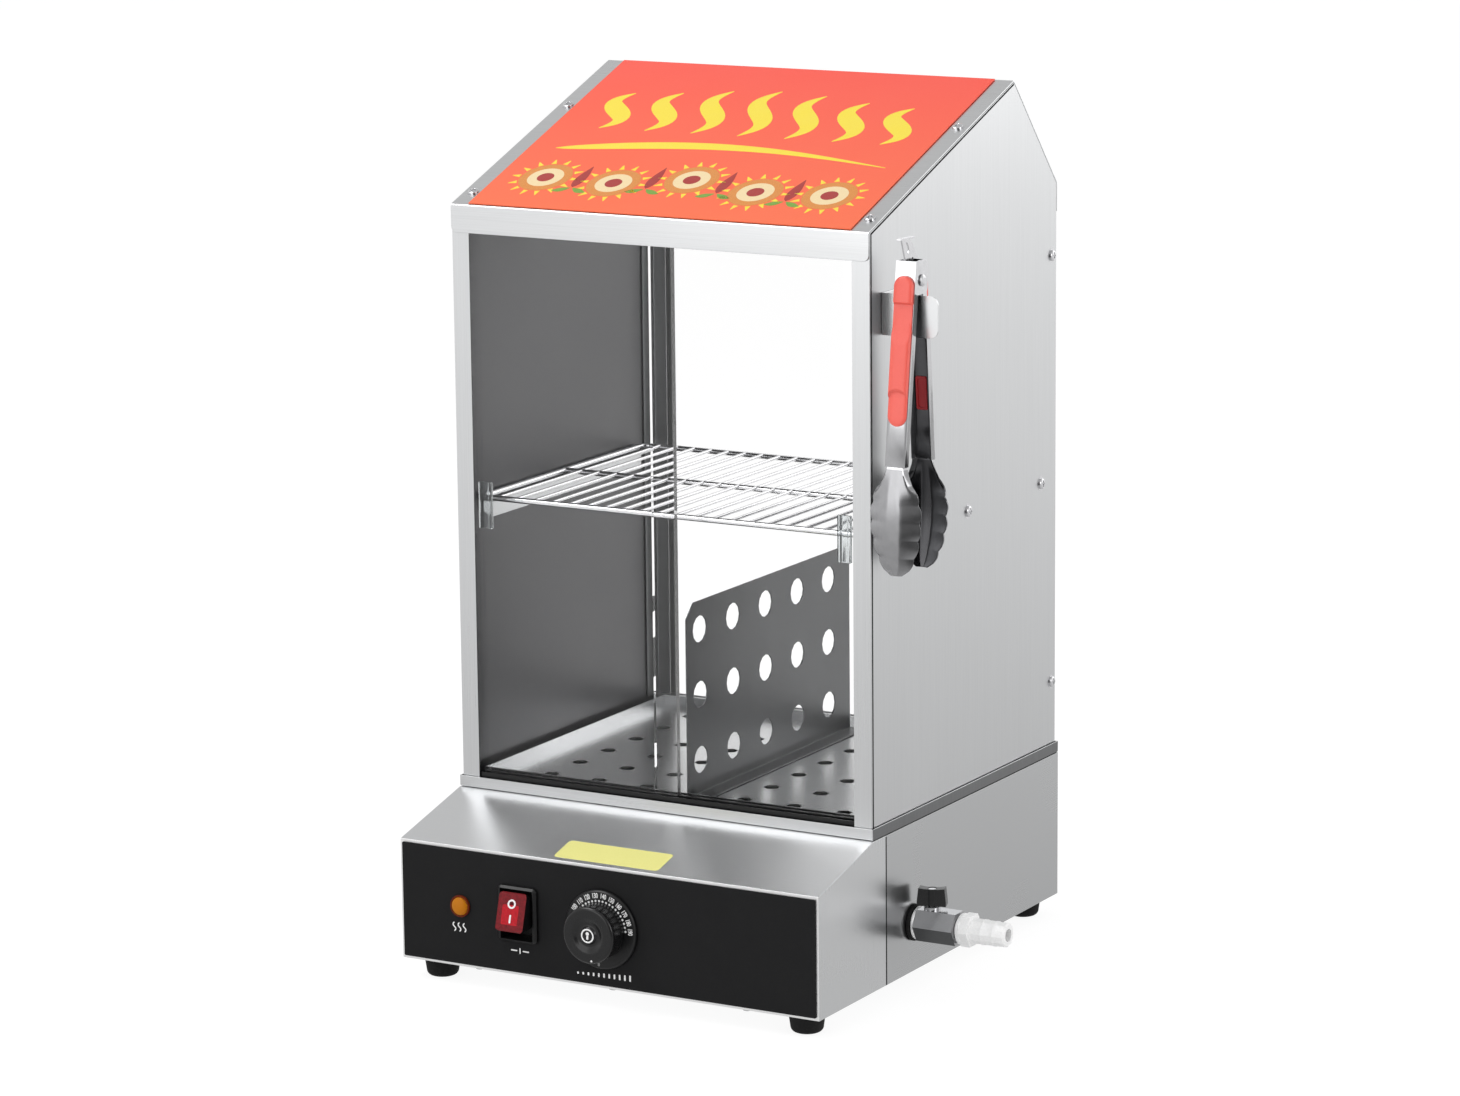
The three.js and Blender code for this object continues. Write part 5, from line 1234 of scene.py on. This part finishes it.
@dataclass
class Interior:
    """Wire shelf and the parts of the heater.

    Attributes:
        frame_wire: Diameter of the shelf's frame wire in millimetres.
        cross_wire: Diameter of its cross wires.
        count: Number of cross wires.
    """

    frame_wire: float = 4.0
    cross_wire: float = 2.4
    count: int = 21

    def build(self) -> None:
        """Makes the shelf and dresses what lies in the tank."""
        self.shelf()
        Bench.dress(Finishes.COPPER, "thermostat_bulb")
        Bench.dress(Finishes.DARK, "heating_element")
        Bench.dress(Finishes.BRIGHT, "heater_flange", "tap_tank_nut", "valve_stem",
                    "thermostat_shaft", "valve_ball")
        Bench.dress(Finishes.CERAMIC, "thermostat_body", "terminal_block")

    def shelf(self) -> None:
        """A closed wire frame with a brace and a row of welded wires on top."""
        box, thick, thin = Box.of("wire_shelf"), self.frame_wire / 2, self.cross_wire / 2
        board = Board(box.middle, X_AXIS, Y_AXIS, Z_AXIS)
        wide, deep, top = box.size / 2 - Vector((thick, thick, thin))
        loop = [board.at(a, b, 0) for a, b in rounded(2 * wide, 2 * deep, 3 * thick, steps=8)]
        pieces = [Bench.wire(loop, thick, closed=True),
                  Bench.wire([board.at(-wide, 0, 0), board.at(wide, 0, 0)], thick)]
        for i in range(1, self.count + 1):
            across = wide * (2 * i / (self.count + 1) - 1)
            path = [board.at(across, -deep, top), board.at(across, deep, top)]
            pieces.append(Bench.wire(path, thin))
        Bench.settle(Bench.joined(pieces), "shelf_wires", "cabinet", "bright_steel",
                     Finishes.BRIGHT, "wire_shelf")


@dataclass
class Feet:
    """Four rubber feet with rounded soles.

    Attributes:
        sole: Diameter of the sole in millimetres.
        top: Diameter at the base.
        corner: Radius between the sole and the side.
    """

    sole: float = 22.0
    top: float = 25.0
    corner: float = 4.0

    def build(self) -> None:
        """Turns one foot at each node's place."""
        edge, top = self.sole / 2 - self.corner, self.top / 2
        for place in ("front_left", "front_right", "rear_left", "rear_right"):
            node = "foot_" + place
            box = Box.of(node)
            height = box.size.z
            profile = [(0.0, 0.0), *arc((edge, self.corner), self.corner, -90, 0, 6),
                       (top - 0.2, height - 0.6), (top - 0.8, height), (0.0, height)]
            centre = Vector((box.middle.x, box.middle.y, box.low.z))
            Bench.settle(Bench.turned(profile, Z_AXIS, centre, 48), node + "_pad", "cabinet",
                         "black_rubber", Finishes.RUBBER, node)


@dataclass
class Controls:
    """Lamp, rocker switch, dial and the marks on the panel.

    Attributes:
        lamp: Radii of the lamp's rim and dome in millimetres.
        tilt: Tilt of the rocker's face at rest in degrees.
        cap: Distance of that face from the rocker's axis.
        ink: Height of the marks on the dial.
        number_ring: Radius of the ring of numbers.
        dot_ring: Radius of the ring of dots.
        first: Angle of the first number, clockwise from the top, in degrees.
        last: Angle of the last number.
        numbers: Count of the numbers.
    """

    lamp: Point = (7.5, 6.2)
    tilt: float = 15.7
    cap: float = 13.0
    ink: float = 0.08
    number_ring: float = 23.1
    dot_ring: float = 19.7
    first: float = -56.0
    last: float = 86.0
    numbers: int = 10

    def build(self) -> None:
        """Builds every control."""
        self.build_lamp()
        self.build_switch()
        self.build_dial()
        self.build_marks()

    def build_lamp(self) -> None:
        """An amber rim with a domed lens in it."""
        rim, dome = self.lamp
        bezel, lens = Box.of("lamp_bezel"), Box.of("lamp_lens")
        depth, height = bezel.size.y, lens.size.y
        profile = [(0, 0.8), (dome + 0.25, 0.8), (dome + 0.3, 0.15), (dome + 0.5, 0.0),
                   (rim - 0.5, 0.0), (rim - 0.15, 0.12), (rim, 0.5), (rim, 1.6), (6.0, 1.6),
                   (6.0, depth), (0.0, depth)]
        Bench.settle(Bench.turned(profile, Y_AXIS, bezel.front, 48), "lamp_rim", "cabinet",
                     "amber_lens", Finishes.AMBER_RIM, "lamp_bezel")
        turns = [math.radians(a) for a in range(0, 91, 9)]
        crown = [(dome * math.sin(a), height * (1 - math.cos(a))) for a in turns]
        Bench.settle(Bench.turned([*crown, (0.0, height)], Y_AXIS, lens.front, 48), "lamp_dome",
                     "cabinet", "amber_lens", Finishes.AMBER, "lamp_lens")

    def build_switch(self) -> None:
        """The frame and the tipped rocker with a ring, a bar and a clear inset."""
        Bench.recast("switch_frame", "switch_surround", "cabinet", "black_plastic",
                     Finishes.BLACK, fold=0.6)
        cap = Bench.recast("switch_rocker", "rocker_cap", "power_rocker", "red_rocker",
                           Finishes.RED, fold=1.1, rim=0.5)
        tilt = math.radians(self.tilt)
        normal = Vector((0, -math.cos(tilt), math.sin(tilt)))
        up = Vector((0, math.sin(tilt), math.cos(tilt)))
        face = Board(pivot("rocker_tilt") + normal * (self.cap * MM), X_AXIS, up, normal)
        # Painted shade: all faces of the red rocker but its top take black plastic, standing for
        # the dark frame's shade and reflection.
        Bench.face(cap, Finishes.BLACK, lambda _, facing: facing.dot(normal) < 0.25)
        inset = Bench.plate(rounded(12.6, 13.4, 1.0, (-0.6, -1.9)), face, 0.1)
        Bench.settle(inset, "rocker_inset", "power_rocker", "red_rocker", Finishes.RED_INSET)
        ring = Bench.plate(disc((0, 5.4), 3.1), face, 0.3)
        Bench.cut(ring, Bench.plate(disc((0, 5.4), 1.9), face, 0.6))
        bar = Bench.plate(rounded(1.3, 5.6, 0.5, (0, -4.6)), face, 0.3)
        Bench.settle(Bench.joined([ring, bar]), "rocker_marks", "power_rocker", "red_rocker",
                     Finishes.INK)

    def build_dial(self) -> None:
        """The skirt, the waisted grip with its dish and hub, bored for the shaft, and marks."""
        skirt, grip = Box.of("knob_skirt"), Box.of("knob_grip")
        radius, thick = skirt.size.x / 2, skirt.size.y
        profile = [(0.0, 0.0), (radius - 0.4, 0.0), (radius, -0.4), (radius, -thick * 0.45),
                   (radius - 0.5, -thick * 0.8), (radius - 1.3, -thick), (0.0, -thick)]
        back = Vector((skirt.middle.x, skirt.high.y, skirt.middle.z))
        Bench.settle(Bench.turned(profile, Y_AXIS, back, 96), "dial_skirt", "thermostat_knob",
                     "black_plastic", Finishes.BLACK, "knob_skirt")
        radius, length = grip.size.x / 2, grip.size.y
        dish = [(0.0, 0.0), (4.95, 0.0), (5.3, 0.25), (6.2, 1.45), (7.2, 1.8), (8.4, 1.62),
                (9.8, 1.0), (11.0, 0.35), (11.9, 0.04), (12.8, 0.0)]
        rim = arc((radius - 2.2, 2.2), 2.2, -90, 0, 8)
        side = [(radius - 0.15, 5.0), (radius - 0.6, 9.0), (radius - 0.6, length - 0.4),
                (radius - 1.0, length)]
        bore = [(3.4, length), (3.4, length - 9.6), (0.0, length - 9.6)]
        face = Vector((skirt.middle.x, grip.low.y, skirt.middle.z))
        Bench.settle(Bench.turned([*dish, *rim, *side, *bore], Y_AXIS, face, 120), "dial_grip",
                     "thermostat_knob", "black_plastic", Finishes.GLOSSY, "knob_grip")
        self.dial_marks(Board.upright(skirt.front), Board.upright(face))

    def dial_marks(self, skirt: Board, face: Board) -> None:
        """Plain numbers and dots round the skirt, and a ring, bar and dot on the grip.

        Args:
            skirt: The skirt's face, from the dial's axis.
            face: The grip's face.
        """
        marks = []
        for i in range(2 * self.numbers - 1):
            step = (self.last - self.first) / (2 * self.numbers - 2)
            turn = math.radians(self.first + step * i)
            across, up = math.sin(turn), math.cos(turn)
            if i % 2 == 0:
                spot = skirt.at(self.number_ring * across, self.number_ring * up, 0)
                marks.append(self.number(str(100 + 5 * i), spot, turn))
            dot = disc((self.dot_ring * across, self.dot_ring * up), 0.78, 12)
            marks.append(Bench.plate(dot, skirt, self.ink))
        marks.append(Bench.plate(disc((2.8, -16.8), 0.7, 12), face, self.ink))
        hub = face.moved(0, 0, -0.05)
        ring = [(3.8, 0.0), (4.8, 0.0), (4.8, -self.ink), (3.8, -self.ink), (3.8, 0.0)]
        marks.append(Bench.turned(ring, Y_AXIS, hub.origin))
        marks.append(Bench.plate(disc((0, 1.4), 1.25, 24), hub, self.ink))
        marks.append(Bench.plate(rounded(1.5, 3.0, 0.735, (0, -1.1)), hub, self.ink))
        Bench.settle(Bench.joined(marks), "dial_marks", "thermostat_knob", "black_plastic",
                     Finishes.INK)
        tick = Bench.plate(rounded(1.6, 2.4, 0.784, (-1.2, -23.6)), skirt, self.ink)
        Bench.settle(tick, "dial_tick", "thermostat_knob", "black_plastic", Finishes.TICK)

    def number(self, text: str, spot: Vector, turn: float) -> Piece:
        """One plain number that faces the user.

        Args:
            text: The digits.
            spot: Its middle, on the skirt.
            turn: Its clockwise turn in radians.

        Returns:
            The number as a mesh.
        """
        Bench.deselect()
        bpy.ops.object.text_add()
        text_data = bpy.context.active_object.data
        text_data.body = text
        text_data.align_x = text_data.align_y = "CENTER"
        text_data.size = 4.7 * MM
        text_data.extrude = 0.04 * MM
        text_data.offset = 0.12 * MM
        bpy.ops.object.convert(target="MESH")
        piece = bpy.context.active_object
        piece.scale.x = 0.66
        piece.rotation_mode = "QUATERNION"
        piece.rotation_quaternion = Quaternion(Y_AXIS, turn) @ Quaternion(X_AXIS, math.pi / 2)
        piece.location = spot - Y_AXIS * (0.05 * MM)
        return piece

    def build_marks(self) -> None:
        """Plain pictograms where the panel is printed, and the blank sticker on the console."""
        front = Box.of("control_panel").low.y - DATUM.origin.y
        panel = Board.upright(DATUM.at(0, front / MM, 0))
        shapes: List[Outline] = [
            band(12, lambda s: (x + 1.1 * math.sin(TAU * s), 24.4 + 6 * s), lambda _: 0.8)
            for x in (-117.5, -113.5, -109.5)]
        shapes += [rounded(5.0, 0.9, 0.4, (x, 17.1)) for x in (-70.6, -61.4)]
        shapes.append(rounded(0.9, 4.0, 0.4, (-66.0, 17.1)))
        for i in range(11):
            high = 1.6 + 0.26 * i
            shapes.append(rounded(1.3, high, 0.5, (-21.0 + i * 4.0, 7.6 + high / 2)))
        pieces = [Bench.plate(shape, panel, 0.05) for shape in shapes]
        Bench.settle(Bench.joined(pieces), "panel_marks", "cabinet", "black_panel", Finishes.INK)
        top, foot = DATUM.at(0, -2, 102), DATUM.at(0, -76.5, 83)
        down = (foot - top).normalized()
        console = Board(top, X_AXIS, down, down.cross(X_AXIS))
        label = Bench.plate(rounded(80, 23, 2.8, (-2, 61.5)), console, 0.12)
        Bench.settle(label, "console_sticker", "cabinet", "brushed_steel", Finishes.STICKER)


@dataclass
class DrainTap:
    """Valve body, rings, handle and hose nipple on the right side, and the cable gland.

    Attributes:
        bore: Radius of the rings' holes in millimetres.
    """

    bore: float = 6.8

    def build(self) -> None:
        """Refines the faceted pieces and turns the rings."""
        body = Bench.recast("valve_body", "tap_body", "cabinet", "bright_steel", Finishes.VALVE,
                            fold=0.6)
        # Painted shade: the valve body's downward facets take the shaded steel.
        Bench.face(body, Finishes.DARK, lambda _, normal: normal.z < -0.35)
        Bench.recast("valve_lever", "tap_handle", "drain_handle", "black_plastic",
                     Finishes.GLOSSY, fold=0.8, rim=0.4)
        self.washer("tap_washer", "white_nylon", Finishes.NYLON)
        self.washer("tap_gasket", "black_rubber", Finishes.RUBBER)
        Bench.recast("hose_nipple", "hose_tail", "cabinet", "white_nylon", Finishes.NYLON)
        Bench.recast("cable_gland", "cable_entry", "cabinet", "black_plastic", Finishes.BLACK,
                     fold=0.6)

    def washer(self, node: str, slot: str, finish: Finish) -> None:
        """A flat ring with eased edges round the valve's thread.

        Args:
            node: The node that it stands for.
            slot: The record's material slot.
            finish: Its finish.
        """
        box, bore = Box.of(node), self.bore
        outer, thick = box.size.z / 2, box.size.x
        ease = 0.25 * thick
        profile = [(bore, 0.0), (outer - ease, 0.0), (outer, ease), (outer, thick - ease),
                   (outer - ease, thick), (bore, thick), (bore, 0.0)]
        centre = Vector((box.low.x, box.middle.y, box.middle.z))
        Bench.settle(Bench.turned(profile, X_AXIS, centre), node + "_ring", "cabinet", slot,
                     finish, node)


@dataclass(frozen=True)
class Scoop:
    """A hollow in a grip's pad, with a sharp upper edge, that runs out below.

    Attributes:
        upper: Its upper edge on the pad's middle line, in millimetres below the rivet.
        lower: Where it runs out.
        upper_bow: How far the upper edge draws in at the pad's sides.
        lower_bow: How far the lower end draws in there.
        depth: Its greatest depth.
    """

    upper: float
    lower: float
    upper_bow: float
    lower_bow: float
    depth: float

    def at(self, across: float, down: float) -> float:
        """Its depth at a place.

        Args:
            across: Place across the pad, from -1 to 1.
            down: Millimetres below the rivet.

        Returns:
            The depth in millimetres.
        """
        bow = 1 - math.sqrt(max(0.0, 1 - across * across))
        upper, lower = self.upper + self.upper_bow * bow, self.lower - self.lower_bow * bow
        if not upper < down < lower:
            return 0.0
        share = (down - upper) / (lower - upper)
        return self.depth * min(1.0, (down - upper) / 1.2) * (1 - share ** 2.4) + 0.12


@dataclass
class Tongs:
    """The hanging tongs and their holder.

    Attributes:
        lean: Lean of the hanging tongs in degrees.
        spread: Half spread of the arms at their tops in millimetres.
        splay: Growth of the half spread per millimetre down the arms.
        top: Height of the arms above the rivet.
        pad: Top, bottom, width, thickness and edge of a grip's pad.
        rear_ease: How much narrower the rear grip's pad is.
        scoops: The pad's hollows for the thumb and the heel of the hand.
        plug: Top, bottom and width of the plug in the web's window.
        plug_ends: Heights of its outer and inner end over the web.
        plug_wall: Width of its rim round the recess.
        neck: Where the head begins, in millimetres below the rivet.
        lap: How far the head reaches into the stem.
        flange: Depth of the stem's side walls where the head begins.
        head: Length, half width, depth of the trough and belly of a head.
        widths: Shares of the head's half width from its neck to its tip.
        flutes: Number of flutes along a head.
    """

    lean: float = 1.5
    spread: float = 7.8
    splay: float = 0.101
    top: float = 12.6
    pad: Tuple[float, float, float, float, float] = (-3.3, 92.6, 13.6, 3.4, 1.4)
    rear_ease: float = 2.2
    scoops: Tuple[Scoop, Scoop] = (Scoop(13.5, 40.0, 0.5, 7.0, 2.9),
                                   Scoop(69.0, 104.0, 5.0, 0.0, 1.9))
    plug: Tuple[float, float, float] = (64.3, 86.2, 8.0)
    plug_ends: Point = (0.9, -1.8)
    plug_wall: float = 1.4
    neck: float = 120.0
    lap: float = 1.2
    flange: float = 4.4
    head: Tuple[float, float, float, float] = (70.0, 17.2, 5.7, 4.0)
    widths: Tuple[float, ...] = (0.42, 0.47, 0.56, 0.66, 0.76, 0.85, 0.92, 0.97, 1, 1, 1, 0.99,
                                 0.97, 0.94, 0.9, 0.85, 0.79, 0.71, 0.61, 0.47, 0.24)
    flutes: int = 6

    def build(self) -> None:
        """Refines the steel pieces and models the heads and both grips."""
        steel = "bright_steel"
        Bench.recast("tong_holder", "holder_bracket", "cabinet", steel, Finishes.CHEEK)
        for node, body in (("tong_pull_tab", "tong_lock"), ("tong_rivet", "tongs")):
            Bench.recast(node, node + "_steel", body, steel, Finishes.POLISHED, fold=0.45)
        Bench.recast("tong_spring", "spring_wire", "tongs", steel, Finishes.BRIGHT, fold=0.1,
                     rim=0.1)
        for side, body, name in ((-1, "tongs", "front"), (1, "tong_rear", "rear")):
            self.arm(side, body, "tong_arm_" + name)
            self.grip(side, body, "tong_grip_" + name)

    @property
    def turn(self) -> Matrix:
        """The lean of the hanging tongs."""
        return Matrix.Rotation(-math.radians(self.lean), 3, "X")

    def web(self, side: int) -> Board:
        """The outer face of an arm's web, across the arm and down from the rivet.

        Args:
            side: -1 for the front arm and 1 for the rear arm.

        Returns:
            The board on it.
        """
        out = self.turn @ Vector((0, side, 0))
        start = pivot("tong_open") + out * ((self.spread + self.top * self.splay) * MM)
        return Board(start, X_AXIS, self.turn @ Vector((0, side * self.splay, -1)), out)

    def arm(self, side: int, body: str, node: str) -> None:
        """The folded stem with its ears, and the scoop head on its end.

        Args:
            side: -1 for the front arm and 1 for the rear arm.
            body: The moving body that it rides on.
            node: The node that it stands for.
        """
        web = self.web(side)
        head = Board(web.at(0, self.neck, 0), X_AXIS, self.turn @ -Z_AXIS, web.out)
        stem = Bench.refined(node, 0.45)
        Bench.only(stem)
        Bench.edit()
        bpy.ops.mesh.bisect(plane_co=web.at(0, self.neck - self.lap, 0), plane_no=head.up,
                            use_fill=True, clear_outer=True)
        bpy.ops.object.mode_set(mode="OBJECT")
        stem = Bench.joined([stem, self.trough(head)])
        Bench.settle(stem, node + "_steel", body, "bright_steel", Finishes.POLISHED, node)
        # Painted shade: the head past the neck takes the darker copy of the steel.
        Bench.face(stem, Finishes.SHADED_HEAD, lambda place, _: (place - head.origin).dot(head.up) > 0)
        # Painted shade: faces turned towards the other arm take the dark copy.
        Bench.face(stem, Finishes.SHADED_INSIDE, lambda _, normal: normal.dot(-web.out) > 0.45)

    def trough(self, board: Board) -> Piece:
        """The thin trough of a head with its scalloped and fluted sides.

        Args:
            board: The plane of the head, from the middle of its neck down.

        Returns:
            The head.
        """
        length, half_width, depth, belly = self.head
        Bench.deselect()
        bpy.ops.mesh.primitive_grid_add(x_subdivisions=24, y_subdivisions=96, size=2)
        piece = bpy.context.active_object
        last = len(self.widths) - 1
        for vertex in piece.data.vertices:
            across, v = vertex.co.x, (vertex.co.y + 1) / 2
            u = abs(across)
            index = min(int(v * last), last - 1)
            start, end = self.widths[index:index + 2]
            share = start + (end - start) * (v * last - index)
            wave = 0.0 if v < 1 / self.flutes else abs(math.sin(math.pi * self.flutes * v))
            wing = (max(u - 0.26, 0) / 0.74) ** 1.15
            flow = min(1.0, v / 0.3) ** 1.5
            edge = self.flange * max(0.0, u - 0.8) / 0.2
            dip = (depth * share * wing - 0.15 * wave * wing ** 2) * flow + edge * (1 - flow)
            vertex.co = board.at(across * (half_width * share + 1.4 * wave * u),
                                 v * (length + self.lap) - self.lap,
                                 belly * math.sin(math.pi * v) - 2.0 * v * v - dip)
        Bench.only(piece)
        Bench.edit()
        Bench.close()
        middle = piece.data.polygons[len(piece.data.polygons) // 2]
        offset = -1.0 if board.out.dot(middle.normal) > 0 else 1.0
        Bench.modify(piece, "SOLIDIFY", thickness=1.0 * MM, offset=offset, use_even_offset=True)
        Bench.modify(piece, "BEVEL", width=0.22 * MM, segments=2, limit_method="ANGLE",
                     angle_limit=math.radians(60))
        return Bench.smooth(piece, 40)

    def grip(self, side: int, body: str, node: str) -> None:
        """A crowned pad with a thumb scoop, a heel dish and its plug.

        Args:
            side: -1 for the front arm and 1 for the rear arm.
            body: The moving body that it rides on.
            node: The node that it stands for.
        """
        web = self.web(side)
        top, bottom, width, thickness, edge = self.pad
        half = (width - self.rear_ease * (side > 0)) / 2
        Bench.deselect()
        bpy.ops.mesh.primitive_grid_add(x_subdivisions=28, y_subdivisions=150, size=1)
        piece = bpy.context.active_object
        for vertex in piece.data.vertices:
            u, v = (math.sin(math.pi * max(-0.5, min(0.5, place))) for place in vertex.co.xy)
            down = top + (1 + v) / 2 * (bottom - top)
            near = min(down - top, bottom - down, half) / half
            round_end = math.sqrt(max(0.0, 1 - (1 - near) ** 2))
            crown = math.sqrt(max(0.0, 1 - u ** 4)) * (0.35 + 0.65 * round_end)
            lift = 0.3 + edge + (thickness - edge) * crown
            lift -= sum(scoop.at(u, down) for scoop in self.scoops)
            vertex.co = web.at(u * half * (0.02 + 0.98 * round_end), down, max(lift, 0.7))
        Bench.edit()
        bpy.ops.mesh.region_to_loop()
        drop = web.out * (-edge * MM)
        bpy.ops.mesh.extrude_edges_move(TRANSFORM_OT_translate={"value": drop})
        bpy.ops.mesh.edge_face_add()
        Bench.close()
        pad = Bench.joined([Bench.smooth(piece, 60), self.plug_piece(web)])
        Bench.settle(pad, node + "_pad", body, "coral_rubber", Finishes.CORAL, node)
        inner, inward = web.at(0, 0, 0.2), web.up.cross(X_AXIS) * side
        Bench.face(pad, Finishes.PLUG, lambda place, _: (place - inner).dot(inward) > 0)

    def plug_piece(self, web: Board) -> Piece:
        """The plug that fills the web's window, with a recess in its inner end.

        Args:
            web: The outer face of the arm's web.

        Returns:
            The plug.
        """
        (top, bottom, width), (outer, inner) = self.plug, self.plug_ends
        middle, length, walls = (top + bottom) / 2, bottom - top, 2 * self.plug_wall
        plug = Bench.plate(rounded(width, length, 1.4), web.moved(0, middle, inner),
                           outer - inner)
        Bench.cut(plug, Bench.plate(rounded(width - walls, length - walls, 1.4),
                                    web.moved(0, middle, -4.0), 3.0))
        Bench.modify(plug, "BEVEL", width=0.25 * MM, segments=2, limit_method="ANGLE")
        return Bench.smooth(plug, 40)


@dataclass(frozen=True)
class Lamp:
    """A soft square lamp that points at the object and isn't seen itself.

    Attributes:
        place: Where it hangs, in metres.
        size: Its side.
        radiance: Its brightness, where 1 shows as white in a mirror.
    """

    place: Tuple[float, float, float]
    size: float
    radiance: float

    def hang(self) -> None:
        """Adds it to the scene."""
        bpy.ops.object.light_add(type="AREA", location=self.place)
        light = bpy.context.active_object
        back = Vector(self.place) - Z_AXIS * 0.3
        light.rotation_mode = "QUATERNION"
        light.rotation_quaternion = back.to_track_quat("Z", "Y")
        light.data.size = self.size
        light.data.energy = self.radiance * math.pi * self.size ** 2
        light.visible_camera = False


@dataclass(frozen=True)
class Studio:
    """Camera, floor, world and lamps.

    Attributes:
        azimuth: Camera's turn about the object in degrees.
        elevation: Camera's height above the horizon in degrees.
        roll: Camera's roll in degrees.
        lens: Focal length in millimetres.
        distance: Distance from the aim in metres.
        aim: The point looked at, in millimetres from the reference place.
        unlit: Direction of the studio's unlit side.
        lamps: The lamps.
    """

    azimuth: float = 29.776
    elevation: float = 11.577
    roll: float = -0.574
    lens: float = 124.09
    distance: float = 3.40657
    aim: Tuple[float, float, float] = (0.74, 92.1, 265.7)
    unlit: Tuple[float, float, float] = (0.62, -0.78, 0.0)
    lamps: Tuple[Lamp, ...] = (
        Lamp((-1.1, -1.0, 2.0), 1.3, 3.4),
        Lamp((-0.35, -1.75, 0.8), 1.2, 0.95),
        Lamp((2.1, -0.6, 0.9), 1.0, 2.9),
        Lamp((1.1, 2.0, 1.0), 1.4, 0.95),
    )

    def build(self) -> None:
        """Sets up the whole studio."""
        bpy.context.scene.view_settings.view_transform = "Standard"
        self.camera()
        self.floor()
        self.world()
        for lamp in self.lamps:
            lamp.hang()

    def camera(self) -> None:
        """Sets the camera at the photograph's place."""
        turn, rise = math.radians(self.azimuth), math.radians(self.elevation)
        back = Vector((math.sin(turn) * math.cos(rise), -math.cos(turn) * math.cos(rise),
                       math.sin(rise)))
        bpy.ops.object.camera_add(location=DATUM.at(*self.aim) + back * self.distance)
        camera = bpy.context.active_object
        camera.rotation_mode = "QUATERNION"
        roll = Quaternion(Z_AXIS, math.radians(self.roll))
        camera.rotation_quaternion = back.to_track_quat("Z", "Y") @ roll
        camera.data.lens = self.lens
        camera.data.sensor_width = 36.0
        camera.data.clip_end = 50.0
        bpy.context.scene.camera = camera

    def dusk(self, graph: Graph, direction: Any) -> Any:
        """A socket from 0 to 1 that says how far a direction lies in the unlit side."""
        facing = graph.vector("DOT_PRODUCT", graph.vector("NORMALIZE", direction), self.unlit)
        return graph.span(facing, start=0.8, end=0.93)

    def floor(self) -> None:
        """A white floor that keeps the object's shadow."""
        Bench.deselect()
        bpy.ops.mesh.primitive_plane_add(size=16.0, location=(0, 0, -0.0002))
        floor = bpy.context.active_object
        floor.name = "floor"
        floor.data.materials.append(dressed("floor white", self.floor_shader))

    def floor_shader(self, graph: Graph) -> Any:
        """White to the camera and through glass, matt to light, and dimmer in mirrors, most near
        the object as a painted shadow.

        Args:
            graph: The floor material's graph.

        Returns:
            The shader's socket.
        """
        path, place = graph.add("LightPath").outputs, graph.place()
        through = path["Is Transmission Ray"]
        seen = graph.math("MULTIPLY", graph.math("MAXIMUM", path["Is Camera Ray"], through), 0.8)
        mirrored = graph.math("SUBTRACT", path["Is Glossy Ray"], through, use_clamp=True)
        far = graph.vector("LENGTH", place)
        # Painted shadow: in mirrors the floor is dimmer near the object, standing for its shadow
        # there.
        near = graph.span(far, 0.6, 0.95, 0.22, 2.4)
        away = graph.span(far, start=0.35, end=0.8)
        dim = graph.span(graph.math("MULTIPLY", self.dusk(graph, place), away), 1.0, 0.12)
        shown = graph.span(mirrored, 1.12, graph.math("MULTIPLY", near, dim))
        matt = graph.add("BsdfDiffuse", {"Color": (0.86, 0.86, 0.86, 1)}).outputs[0]
        white = graph.add("Emission", {"Strength": shown}).outputs[0]
        return graph.mixed(graph.math("MAXIMUM", seen, mirrored), matt, white)

    def world(self) -> None:
        """White to the camera and through glass, and softer as a light and in mirrors."""
        world = bpy.data.worlds.new("studio")
        bpy.context.scene.world = world
        world.use_nodes = True
        world.node_tree.nodes.clear()
        graph = Graph(world.node_tree)
        path, sky = graph.add("LightPath").outputs, graph.add("TexCoord").outputs["Generated"]
        seen = graph.math("MAXIMUM", path["Is Camera Ray"], path["Is Transmission Ray"])
        up = graph.add("SeparateXYZ", {0: sky}).outputs["Z"]
        wall = graph.span(up, 0.95, 0.6, 0.0, 0.7)
        dim = graph.span(self.dusk(graph, sky), 1.0, 0.15)
        shown = graph.span(seen, graph.math("MULTIPLY", wall, dim), 1.0)
        back = graph.add("Background", {"Color": (1, 1, 1, 1), "Strength": shown}).outputs[0]
        graph.add("OutputWorld", {"Surface": back})


def main() -> None:
    """Builds the studio and every sub-assembly in order."""
    logging.basicConfig(level=logging.INFO, format="%(name)s %(message)s")
    Studio().build()
    for assembly in (Cabinet(), RoofSign(), Glazing(), Interior(), Feet(), Controls(),
                     DrainTap(), Tongs()):
        LOG.info("building %s", type(assembly).__name__)
        assembly.build()


if __name__ == "__main__":
    main()
